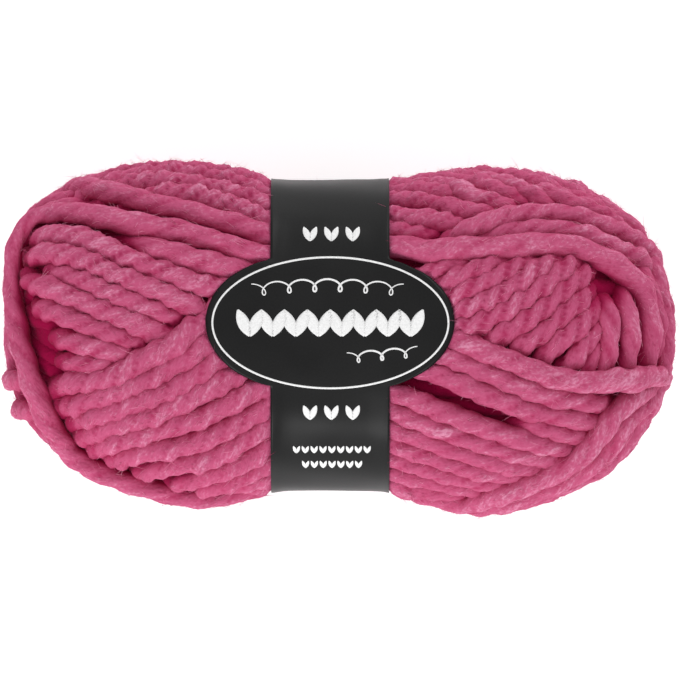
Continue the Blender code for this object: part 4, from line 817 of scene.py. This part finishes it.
def yarn_material(name="acrylic_yarn"):
    made, nodes, links, shader = new_material(name)

    def attribute(label):
        node = nodes.new("ShaderNodeAttribute")
        node.attribute_name = label
        return node

    def centred(value, share):
        node = math_node(nodes, links, "MULTIPLY_ADD", value, share)
        node.node.inputs[2].default_value = -share / 2
        return node

    def mapped(label, low, high, most):
        node = nodes.new("ShaderNodeMapRange")
        node.interpolation_type = "SMOOTHSTEP"
        links.new(attribute(label).outputs["Fac"], node.inputs["Value"])
        node.inputs["From Min"].default_value = low
        node.inputs["From Max"].default_value = high
        node.inputs["To Min"].default_value = 0.0
        node.inputs["To Max"].default_value = most
        return node.outputs["Result"]

    along = attribute("fibre").outputs["Vector"]
    # fibres run along the plies: long streaks, thin streaks and loose fluff
    long_streak = noise_node(nodes, links, scaled(nodes, links, along, (0.30, 1.7, 1.7)), 1.0, 3.0, 0.6)
    thin_streak = noise_node(nodes, links, scaled(nodes, links, along, (0.8, 5.0, 5.0)), 1.0, 3.0, 0.7)
    fluff = noise_node(nodes, links, scaled(nodes, links, along, (1.0, 1.4, 1.4)), 1.0, 3.0, 0.60)
    patch = noise_node(nodes, links, scaled(nodes, links, along, (0.10, 0.35, 0.35)), 1.0, 1.0, 0.5)
    shade = centred(long_streak, 0.20)
    shade = math_node(nodes, links, "ADD", shade, centred(thin_streak, 0.14))
    shade = math_node(nodes, links, "ADD", shade, centred(fluff, 0.8))
    shade = math_node(nodes, links, "ADD", shade, centred(patch, 0.4))
    own = math_node(nodes, links, "MULTIPLY_ADD", attribute("tone").outputs["Fac"], 0.04)
    own.node.inputs[2].default_value = 0.60
    shade = math_node(nodes, links, "ADD", shade, own)
    # painted shade: the tops are painted lighter than the sides, which darken as the surface lies deeper, and the
    # grooves a little darker still
    shade = math_node(nodes, links, "SUBTRACT", shade, mapped("deep", -0.5, 1.3, 0.15))
    shade = math_node(nodes, links, "SUBTRACT", shade, mapped("groove", 0.0, 0.7, 0.05), clamp=True)
    colour = ramp_node(
        nodes, links, shade, ((0.08, YARN_DEEP), (0.5, YARN_MIDDLE), (0.92, YARN_LIGHT))
    )
    # painted shade: the colour turns darker and fuller between the plies and between the turns, and darkest deep
    # down
    def mixed(factor, first, second):
        node = nodes.new("ShaderNodeMix")
        node.data_type = "RGBA"
        links.new(factor, node.inputs["Factor"])
        links.new(first, node.inputs[6])
        node.inputs[7].default_value = second
        return node.outputs[2]

    colour = mixed(mapped("groove", 0.2, 1.1, 0.85), colour, YARN_PAINTED_GROOVE_SHADE)
    colour = mixed(mapped("deep", 1.2, 3.2, 0.85), colour, YARN_PAINTED_CREVICE_SHADE)
    colour = mixed(mapped("deep", 2.4, 4.6, 1.0), colour, YARN_PAINTED_HOLLOW_SHADE)
    links.new(colour, shader.inputs["Base Color"])
    normal = None
    for height, strength, distance in (
        (long_streak, 0.6, 0.00030),
        (fluff, 0.6, 0.00040),
        (thin_streak, 0.4, 0.00010),
    ):
        bump = nodes.new("ShaderNodeBump")
        bump.inputs["Strength"].default_value = strength
        bump.inputs["Distance"].default_value = distance
        links.new(height, bump.inputs["Height"])
        if normal:
            links.new(normal, bump.inputs["Normal"])
        normal = bump.outputs[0]
    links.new(normal, shader.inputs["Normal"])
    shader.inputs["Roughness"].default_value = 0.85
    shader.inputs["Specular IOR Level"].default_value = 0.04
    shader.inputs["Sheen Weight"].default_value = 0.10
    shader.inputs["Sheen Roughness"].default_value = 0.45
    shader.inputs["Sheen Tint"].default_value = (1.0, 0.5, 0.68, 1.0)
    # painted glow: a weak crimson emission where turns meet, standing in for light that comes through the fibres
    painted_glow = mapped("deep", 1.0, 2.2, 0.022)
    lost = math_node(nodes, links, "SUBTRACT", 1.0, mapped("deep", 2.2, 4.0, 0.75))
    painted_glow = math_node(nodes, links, "MULTIPLY", painted_glow, lost)
    links.new(painted_glow, shader.inputs["Emission Strength"])
    made.cycles.emission_sampling = "NONE"
    shader.inputs["Emission Color"].default_value = (1.0, 0.02, 0.17, 1.0)
    return made


def fuzz_material():
    made, nodes, links, shader = new_material("loose_fibres")
    tone = nodes.new("ShaderNodeAttribute")
    tone.attribute_name = "tone"
    colour = ramp_node(
        nodes, links, tone.outputs["Fac"], ((0.0, YARN_DEEP), (0.45, YARN_MIDDLE), (1.0, YARN_FUZZ))
    )
    links.new(colour, shader.inputs["Base Color"])
    shader.inputs["Roughness"].default_value = 0.6
    shader.inputs["Specular IOR Level"].default_value = 0.25
    return made


def paper_material():
    made, nodes, links, shader = new_material("band_paper")
    where = nodes.new("ShaderNodeAttribute")
    where.attribute_name = "band"
    grain = noise_node(
        nodes, links, scaled(nodes, links, where.outputs["Vector"], (1.0, 1.0, 1.0)), 2.2, 4.0, 0.6
    )
    cloud = noise_node(
        nodes, links, scaled(nodes, links, where.outputs["Vector"], (0.07, 0.07, 0.07)), 1.0, 2.0
    )
    mixed = math_node(nodes, links, "ADD", math_node(nodes, links, "MULTIPLY", grain, 0.5), math_node(nodes, links, "MULTIPLY", cloud, 0.5))
    colour = ramp_node(
        nodes,
        links,
        mixed,
        ((0.3, (0.0105, 0.0105, 0.0107, 1)), (0.7, (0.0145, 0.0145, 0.0147, 1))),
    )
    links.new(colour, shader.inputs["Base Color"])
    rough = math_node(nodes, links, "MULTIPLY_ADD", cloud, 0.16)
    rough.node.inputs[2].default_value = 0.30
    links.new(rough, shader.inputs["Roughness"])
    bump = nodes.new("ShaderNodeBump")
    bump.inputs["Strength"].default_value = 0.25
    bump.inputs["Distance"].default_value = 0.00005
    links.new(grain, bump.inputs["Height"])
    links.new(bump.outputs[0], shader.inputs["Normal"])
    shader.inputs["Specular IOR Level"].default_value = 0.12
    return made


def print_material():
    made, nodes, links, shader = new_material("white_print")
    where = nodes.new("ShaderNodeTexCoord")
    grain = noise_node(nodes, links, where.outputs["Object"], 2600.0, 3.0)
    colour = ramp_node(
        nodes, links, grain, ((0.3, (0.78, 0.78, 0.78, 1)), (0.7, (0.9, 0.9, 0.9, 1)))
    )
    links.new(colour, shader.inputs["Base Color"])
    shader.inputs["Roughness"].default_value = 0.45
    return made


# painted shade colours: in the grooves, in the crevices between turns, and in the deepest hollows
YARN_PAINTED_GROOVE_SHADE = (0.38, 0.026, 0.095, 1.0)
YARN_PAINTED_CREVICE_SHADE = (0.34, 0.010, 0.072, 1.0)
YARN_PAINTED_HOLLOW_SHADE = (0.30, 0.003, 0.048, 1.0)
YARN_DEEP = (0.37, 0.034, 0.100, 1.0)
YARN_MIDDLE = (0.515, 0.090, 0.195, 1.0)
YARN_LIGHT = (0.74, 0.30, 0.45, 1.0)
YARN_FUZZ = (0.90, 0.36, 0.52, 1.0)

YARN = yarn_material()
FUZZ = fuzz_material()
PAPER_LOOK = paper_material()
PRINT = print_material()

# ------------------------------------------------------------ the yarn pieces


def depth_of(points):
    """How deep each point lies below the form's outer surface, in mm."""
    out = np.empty(len(points))
    for i, p in enumerate(points):
        spot, normal = nearest(p)
        out[i] = STRAND - float(np.dot(p - spot, normal))
    return out


def gather(name, parts):
    """One mesh from the tubes of several strands, each with its tone."""
    points, quads, tris, fibre, groove, tones, start = [], [], [], [], [], [], 0
    for p, q, t, f, g, tone in parts:
        points.append(p)
        quads.append(q + start)
        tris.append(t + start)
        fibre.append(f)
        groove.append(g)
        tones.append(np.full(len(p), tone))
        start += len(p)
    return mesh_piece(
        name,
        np.vstack(points),
        np.vstack(quads),
        np.vstack(tris),
        YARN,
        (
            ("fibre", "FLOAT_VECTOR", np.vstack(fibre)),
            # groove and deep drive the painted shade between plies and turns, tone is each strand's own
            ("groove", "FLOAT", np.concatenate(groove)),
            ("tone", "FLOAT", np.concatenate(tones)),
            ("deep", "FLOAT", depth_of(np.vstack(points))),
        ),
    )


def build_yarn():
    lines = settle(lay_strands())
    groups = {}
    for number, (row, line) in enumerate(zip(STRANDS, lines)):
        name, piece, radius, pitch, depth, _ = row
        felted = FELTED.get(group_of(name), SWELL)
        made = tube(
            line,
            radius * felted,
            pitch,
            min(1.05, depth * 1.25),
            1.0 + number * 0.731,
            name=name,
            lumps=1.0 + min(0.9, (felted - SWELL) * 9.0),
        )
        groups.setdefault(piece, []).append((*made, float(RNG.uniform(-1, 1))))
    return [gather("yarn_" + piece, parts) for piece, parts in groups.items()]


INNER_DEPTH = -4.4  # height of the second layer's centrelines


def build_inner():
    """The second layer of turns, seen in the gaps between the outer ones."""
    parts = []
    for side in (-1.0, 1.0):
        for k in range(30):
            turn = 12.0 * k + 4.0 * side
            lean = 5.0 * math.sin(k * 2.3 + side)
            path = [
                ("t", side * x, turn + lean * x / 60.0, INNER_DEPTH)
                for x in (8, 18, 28, 38, 48, 57)
            ]
            angle = math.radians(turn + lean)
            for share, x in ((0.62, 0.0), (0.34, -0.4)):
                path.append(
                    (
                        "e",
                        3.5 + 30.0 * share * math.cos(angle),
                        31.4 + 26.0 * share * math.sin(angle),
                        INNER_DEPTH + x,
                    )
                )
            found = [place(kind, a, b, h, side)[0] for kind, a, b, h in path]
            made = tube(found, 2.6, 14.0, 0.5, 60.0 + k + 40 * side, 14, 1.6)
            # the second layer's tones lean darker: a little painted shade
            parts.append((*made, float(RNG.uniform(-1, 0.3))))
    return gather("yarn_inner", parts)


def build_core():
    """The inner turns, seen only deep between the outer ones: one body below them."""
    grid = CORE_GRID
    count, n = grid.shape[:2]
    grid = grid.copy()
    grid[:, :, 2] = np.maximum(grid[:, :, 2], 1.5)
    points = grid.reshape(-1, 3)
    quads = []
    for i in range(count - 1):
        for j in range(n):
            k = (j + 1) % n
            quads.append((i * n + j, (i + 1) * n + j, (i + 1) * n + k, i * n + k))
    tris = []
    tips = np.vstack([grid[0].mean(axis=0), grid[-1].mean(axis=0)])
    for j in range(n):
        k = (j + 1) % n
        tris.append((count * n, j, k))
        tris.append((count * n + 1, (count - 1) * n + k, (count - 1) * n + j))
    points = np.vstack([points, tips])
    made = mesh_piece(
        "yarn_core",
        points,
        quads,
        tris,
        YARN,
        (
            ("fibre", "FLOAT_VECTOR", points * 0.8),
            # groove, tone and deep at their darkest paint the whole core in the darkest painted shade
            ("groove", "FLOAT", np.ones(len(points))),
            ("tone", "FLOAT", np.full(len(points), -1.0)),
            ("deep", "FLOAT", np.full(len(points), 6.0)),
        ),
    )
    return made


# ------------------------------------------------------------------- the fuzz
HAIR_CUTS = 3  # rings of a loose fibre
HAIR_SIDES = 3


def build_fuzz(name, pieces, count, seed):
    """Loose fibres that stand off the turns of yarn, each a thin closed cone, bent."""
    rng = np.random.default_rng(seed)
    spots, normals, lines, weights = [], [], [], []
    for piece in pieces:
        mesh = piece.data
        n = len(mesh.polygons)
        centre, normal, area = np.empty(n * 3), np.empty(n * 3), np.empty(n)
        mesh.polygons.foreach_get("center", centre)
        mesh.polygons.foreach_get("normal", normal)
        mesh.polygons.foreach_get("area", area)
        deep = np.empty(len(mesh.vertices))
        mesh.attributes["deep"].data.foreach_get("value", deep)
        first, second = np.empty((n, 3)), np.empty((n, 3))
        at = np.empty(len(mesh.vertices) * 3)
        mesh.vertices.foreach_get("co", at)
        at = at.reshape(-1, 3) / MM
        start = np.empty(n, np.int32)
        mesh.polygons.foreach_get("loop_start", start)
        corner = np.empty(len(mesh.loops), np.int32)
        mesh.loops.foreach_get("vertex_index", corner)
        a, b, c = corner[start], corner[start + 1], corner[start + 2]
        edge = np.stack([at[b] - at[a], at[c] - at[b]], axis=1)
        # rings lie SIDES corners apart, so the edge between rings joins far corners
        ringwise = (np.abs(b - a) >= SIDES - 1)
        along = np.where(ringwise[:, None], edge[:, 0], edge[:, 1])
        depth = deep[a]
        weight = area * np.clip(1.15 - depth / 2.6, 0.03, 1.1)
        middle = centre.reshape(-1, 3) / MM
        allowed, out, _ = band_gap(middle)
        weight = np.where((allowed < out + 1.2) | (middle[:, 2] < 0.6), 0, weight)
        spots.append(middle)
        normals.append(normal.reshape(-1, 3))
        lines.append(along)
        weights.append(weight)
    spots, normals, lines = np.vstack(spots), np.vstack(normals), np.vstack(lines)
    weights = np.concatenate(weights)
    pick = rng.choice(len(spots), count, p=weights / weights.sum())
    spot, normal, line = spots[pick], normals[pick], lines[pick]
    line = line / np.maximum(np.linalg.norm(line, axis=1, keepdims=True), 1e-9)
    side = np.cross(normal, line)
    sign = rng.choice([-1.0, 1.0], count)[:, None]
    stand = rng.uniform(0.12, 0.75, count)[:, None] ** 1.2
    swing = rng.normal(0, 0.55, count)[:, None]
    heading = line * sign + side * swing + normal * stand
    heading /= np.linalg.norm(heading, axis=1, keepdims=True)
    length = rng.gamma(5.0, 0.36, count).clip(0.7, 4.0)[:, None]
    bend = (
        side * rng.normal(0, 0.35, (count, 1))
        - normal * rng.uniform(0.0, 0.5, (count, 1)) * stand * 1.6
        + line * rng.normal(0, 0.2, (count, 1))
    )
    spot = spot + side * rng.uniform(-0.3, 0.3, (count, 1)) + line * rng.uniform(-0.5, 0.5, (count, 1))
    share = np.linspace(0, 1, HAIR_CUTS + 1)
    points, tones = [], []
    thick = rng.uniform(0.026, 0.046, count)[:, None]
    other = np.cross(heading, normal)
    other /= np.maximum(np.linalg.norm(other, axis=1, keepdims=True), 1e-9)
    third = np.cross(heading, other)
    for k, t in enumerate(share):
        centre = spot - normal * 0.12 + heading * length * t + bend * length * t * t * 0.7
        if k < HAIR_CUTS:
            for j in range(HAIR_SIDES):
                angle = 2 * math.pi * j / HAIR_SIDES
                points.append(
                    centre
                    + (other * math.cos(angle) + third * math.sin(angle)) * thick * (1 - 0.55 * t)
                )
        else:
            points.append(centre)
    per = HAIR_CUTS * HAIR_SIDES + 1
    points = np.stack(points, axis=1).reshape(-1, 3)
    points[:, 2] = np.maximum(points[:, 2], 0.03)
    quads, tris = [], []
    for k in range(HAIR_CUTS - 1):
        for j in range(HAIR_SIDES):
            m = (j + 1) % HAIR_SIDES
            quads.append((k * 3 + j, k * 3 + m, k * 3 + 3 + m, k * 3 + 3 + j))
    k = HAIR_CUTS - 1
    for j in range(HAIR_SIDES):
        tris.append((k * 3 + j, k * 3 + (j + 1) % HAIR_SIDES, per - 1))
    tris.append((2, 1, 0))
    base = (np.arange(count) * per)[:, None, None]
    quads = (np.array(quads)[None] + base).reshape(-1, 4)
    tris = (np.array(tris)[None] + base).reshape(-1, 3)
    tone = np.repeat(rng.uniform(0.1, 1.0, count), per)
    return mesh_piece(name, points, quads, tris, FUZZ, (("tone", "FLOAT", tone),))


# ------------------------------------------------------------------- the band
BAND_TURNS = 300
BAND_ACROSS = 44
LAP_AT, LAP = 262.0, 15.0  # the paper's ends overlap underneath, in degrees


def band_wave(x, turn):
    """The paper's slight rise and fall over the turns of yarn under it."""
    return (
        0.10 * np.sin(turn * 9.0 + x * 0.05)
        + 0.07 * np.sin(turn * 17.0 - x * 0.09 + 1.0)
        + 0.05 * np.sin(x * 0.33 + turn * 4.0)
    )


def build_band():
    turns = np.radians(np.linspace(LAP_AT, LAP_AT + 360 + LAP, BAND_TURNS + 1))
    lap = smooth((np.degrees(turns) - LAP_AT - 358) / 5.0) * (PAPER + 0.06)
    half = band_half_width(turns)
    outer = np.empty((len(turns), BAND_ACROSS + 1, 3))
    inner = np.empty_like(outer)
    where = np.empty_like(outer)
    walked = 0.0
    for i, turn in enumerate(turns):
        if i:
            walked += float(band_reach(BAND_X, np.array([turn]))[0]) * (
                turns[i] - turns[i - 1]
            )
        share = np.linspace(-1, 1, BAND_ACROSS + 1)
        x = BAND_X + half[i] * share
        edge = 1 - smooth((1 - np.abs(share)) * half[i] / 3.0)
        r = (
            np.array([float(band_reach(v, np.array([turn]))[0]) for v in x])
            + band_wave(x, turn)
            + lap[i]
            - 0.18
            + 0.12 * edge * np.sin(turn * 7 + x)
        )
        for grid, radius in ((outer, r), (inner, r - PAPER)):
            grid[i, :, 0] = x
            grid[i, :, 1] = BAND_CENTRE_Y + radius * math.cos(turn)
            grid[i, :, 2] = BAND_CENTRE_Z + radius * math.sin(turn)
        where[i, :, 0] = x
        where[i, :, 1] = walked
        where[i, :, 2] = 0
    n = BAND_ACROSS + 1
    size = len(turns) * n
    points = np.vstack([outer.reshape(-1, 3), inner.reshape(-1, 3)])
    points[:, 2] = np.maximum(points[:, 2], 0.05)
    quads = []
    for i in range(len(turns) - 1):
        for j in range(n - 1):
            a, b, c, d = i * n + j, (i + 1) * n + j, (i + 1) * n + j + 1, i * n + j + 1
            quads.append((a, b, c, d))
            quads.append((size + a, size + d, size + c, size + b))
        for j, flip in ((0, False), (n - 1, True)):
            a, b = i * n + j, (i + 1) * n + j
            face = (a, size + a, size + b, b)
            quads.append(face[::-1] if flip else face)
    for i, flip in ((0, True), (len(turns) - 1, False)):
        for j in range(n - 1):
            a, b = i * n + j, i * n + j + 1
            face = (a, size + a, size + b, b)
            quads.append(face[::-1] if flip else face)
    made = mesh_piece(
        "ball_band_paper",
        points,
        quads,
        [],
        PAPER_LOOK,
        (("band", "FLOAT_VECTOR", np.vstack([where.reshape(-1, 3)] * 2)),),
    )
    tree = BVHTree.FromPolygons(
        [tuple(p) for p in outer.reshape(-1, 3)],
        [
            (i * n + j, (i + 1) * n + j, (i + 1) * n + j + 1, i * n + j + 1)
            for i in range(len(turns) - 1)
            for j in range(n - 1)
        ],
    )
    return made, tree, walked


def fix_normals(obj):
    import bmesh

    bm = bmesh.new()
    bm.from_mesh(obj.data)
    bmesh.ops.recalc_face_normals(bm, faces=bm.faces)
    bm.to_mesh(obj.data)
    bm.free()


# The print on the band. It is an ornament of knit stitches, with no lettering.
INK = 0.035  # thickness of the print


class Ink:
    """Flat white shapes that lie on the band, gathered into one mesh."""

    def __init__(self, tree):
        self.tree = tree
        self.points, self.quads, self.tris = [], [], []

    def drop(self, x, y):
        hit, normal, _, _ = self.tree.ray_cast(Vector((x, y, 120.0)), Vector((0, 0, -1)))
        if hit is None:
            return None
        normal = np.array(normal)
        if normal[2] < 0:
            normal = -normal
        return np.array(hit), normal

    def patch(self, rings):
        """A closed thin slab from rows of (x, y), each of equal length."""
        rows = []
        for row in rings:
            found = [self.drop(x, y) for x, y in row]
            if any(f is None for f in found):
                return
            rows.append(found)
        count, n = len(rows), len(rows[0])
        start = len(self.points)
        for lift in (INK, -0.1):
            for row in rows:
                for hit, normal in row:
                    self.points.append(hit + normal * lift)
        size = count * n
        for i in range(count - 1):
            for j in range(n - 1):
                a, b, c, d = i * n + j, (i + 1) * n + j, (i + 1) * n + j + 1, i * n + j + 1
                self.quads.append((start + a, start + b, start + c, start + d))
                self.quads.append(
                    (start + size + a, start + size + d, start + size + c, start + size + b)
                )
            for j in (0, n - 1):
                a, b = i * n + j, (i + 1) * n + j
                self.quads.append((start + a, start + size + a, start + size + b, start + b))
        for i in (0, count - 1):
            for j in range(n - 1):
                a, b = i * n + j, i * n + j + 1
                self.quads.append((start + a, start + size + a, start + size + b, start + b))

    def stroke(self, path, width, taper=0.0, closed=False):
        """A line of even width along (x, y) points, thinner towards its ends by taper."""
        path = np.asarray(path, float)
        if closed:
            path = np.vstack([path, path[:1]])
        tangent = np.gradient(path, axis=0)
        if closed:
            tangent[0] = tangent[-1] = path[1] - path[-2]
        tangent /= np.maximum(np.linalg.norm(tangent, axis=1, keepdims=True), 1e-9)
        side = np.stack([-tangent[:, 1], tangent[:, 0]], axis=1)
        share = np.linspace(0, 1, len(path))
        half = width / 2 * (1 - taper * (1 - np.sin(math.pi * share)))
        self.patch(
            [path + side * (half * w)[:, None] for w in (-1.0, 0.0, 1.0)]
        )


def leaf(ink, x, y, length, width, lean):
    """One side of a knit stitch: a leaf shape that leans."""
    t = np.linspace(0, 1, 13)
    along = (t - 0.5) * length
    wide = width / 2 * np.sin(math.pi * np.clip(t, 0.02, 0.98)) ** 0.7
    c, s = math.cos(lean), math.sin(lean)
    rows = []
    for w in (-1.0, -0.5, 0.0, 0.5, 1.0):
        rows.append(
            [
                (x + a * s + w * h * c, y + a * c - w * h * s)
                for a, h in zip(along, wide)
            ]
        )
    ink.patch(rows)


def stitch(ink, x, y, size, fat=0.42):
    """A knit stitch, a V of two leaves."""
    lean = math.radians(24)
    shift = size * 0.215
    leaf(ink, x - shift, y, size, size * fat, -lean)
    leaf(ink, x + shift, y, size, size * fat, lean)


def build_print(tree):
    ink = Ink(tree)
    turn = np.linspace(0, 2 * math.pi, 160, endpoint=False)
    ring = np.stack([-2.1 + 25.9 * np.cos(turn), 3.35 + 14.4 * np.sin(turn)], axis=1)
    ink.stroke(ring, 0.42, closed=True)
    # a row of large stitches across the middle
    for i in range(8):
        stitch(ink, -19.8 + i * 5.05, 3.3, 6.4)
    # a loose thread above it and a shorter one below
    t = np.linspace(0, 1, 150)
    thread = np.stack(
        [
            -19.5 + 33.5 * t + 1.5 * np.sin(t * 2 * math.pi * 6.0),
            11.1 + 1.35 * np.cos(t * 2 * math.pi * 6.0) + 1.1 * np.sin(t * math.pi) - 0.6,
        ],
        axis=1,
    )
    ink.stroke(thread, 0.42, taper=0.5)
    t = np.linspace(0, 1, 90)
    thread = np.stack(
        [
            1.5 + 15.5 * t + 1.3 * np.sin(t * 2 * math.pi * 3.0),
            -4.4 + 1.15 * np.cos(t * 2 * math.pi * 3.0) + 1.4 * t,
        ],
        axis=1,
    )
    ink.stroke(thread, 0.42, taper=0.5)
    # small rows above and below the plate
    for x in (-6.6, -1.9, 2.8):
        stitch(ink, x, 22.9, 3.4)
        stitch(ink, x, -16.4, 3.4)
    for i in range(9):
        stitch(ink, -9.6 + i * 1.95, -24.6, 1.7)
    for i in range(7):
        stitch(ink, -7.6 + i * 1.95, -27.9, 1.7)
    made = mesh_piece("band_print", np.array(ink.points), ink.quads, ink.tris or [], PRINT, smooth_shade=False)
    fix_normals(made)
    return made


# ------------------------------------------------------------- putting together
yarn = build_yarn()
inner = build_inner()
core = build_core()
band, band_tree, band_length = build_band()
fix_normals(band)
for made in [*yarn, inner, core]:
    fix_normals(made)
ornament = build_print(band_tree)
left = [made for made in yarn if "left" in made.name]
right = [made for made in yarn if "right" in made.name]
fuzz = [
    build_fuzz("yarn_fuzz_left", left, 12000, 7),
    build_fuzz("yarn_fuzz_right", right, 12000, 8),
]
for made in [*yarn, inner, core, *fuzz]:
    print(made.name, sum(len(p.vertices) - 2 for p in made.data.polygons), "triangles")

for made in [*yarn, inner, core, *fuzz]:
    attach(made, "root")
    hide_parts("skein")
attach(band, "root")
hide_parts("ball_band")
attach(ornament, "root")

# ------------------------------------------------------- camera, floor, lights
scene = bpy.context.scene
PICTURE = 151.4  # width of the view at the ball's middle, in mm
DISTANCE = 1900.0
camera = bpy.data.objects.new("camera", bpy.data.cameras.new("camera"))
scene.collection.objects.link(camera)
camera.data.sensor_width = 36.0
camera.data.lens = 36.0 * DISTANCE / PICTURE
camera.location = Vector((0.0, -0.445, 34.0 + DISTANCE)) * MM
camera.data.clip_start, camera.data.clip_end = 0.05, 50.0
scene.camera = camera

floor_mat, nodes, links, shader = new_material("pale_floor")
shader.inputs["Base Color"].default_value = (0.80, 0.80, 0.80, 1)
shader.inputs["Roughness"].default_value = 0.9
shader.inputs["Specular IOR Level"].default_value = 0.1
shader.inputs["Emission Color"].default_value = (1, 1, 1, 1)
shader.inputs["Emission Strength"].default_value = 0.55
floor = mesh_piece(
    "floor",
    np.array([(-6000, -6000, 0), (6000, -6000, 0), (6000, 6000, 0), (-6000, 6000, 0)], float),
    [(0, 1, 2, 3)],
    [],
    floor_mat,
    smooth_shade=False,
)

world = bpy.data.worlds.new("studio")
scene.world = world
world.use_nodes = True
world.node_tree.nodes["Background"].inputs["Color"].default_value = (1, 1, 1, 1)
world.node_tree.nodes["Background"].inputs["Strength"].default_value = 0.66


def soft_light(name, place, size, power):
    data = bpy.data.lights.new(name, "AREA")
    data.shape = "DISK"
    data.size = size
    data.energy = power
    made = bpy.data.objects.new(name, data)
    scene.collection.objects.link(made)
    made.location = place
    made.rotation_mode = "QUATERNION"
    made.rotation_quaternion = (-Vector(place)).to_track_quat("-Z", "Y")
    return made


soft_light("key", (-0.35, -1.25, 0.95), 0.9, 15.0)
soft_light("back", (0.5, 1.35, 0.6), 0.9, 8.0)
scene.view_settings.view_transform = "Standard"

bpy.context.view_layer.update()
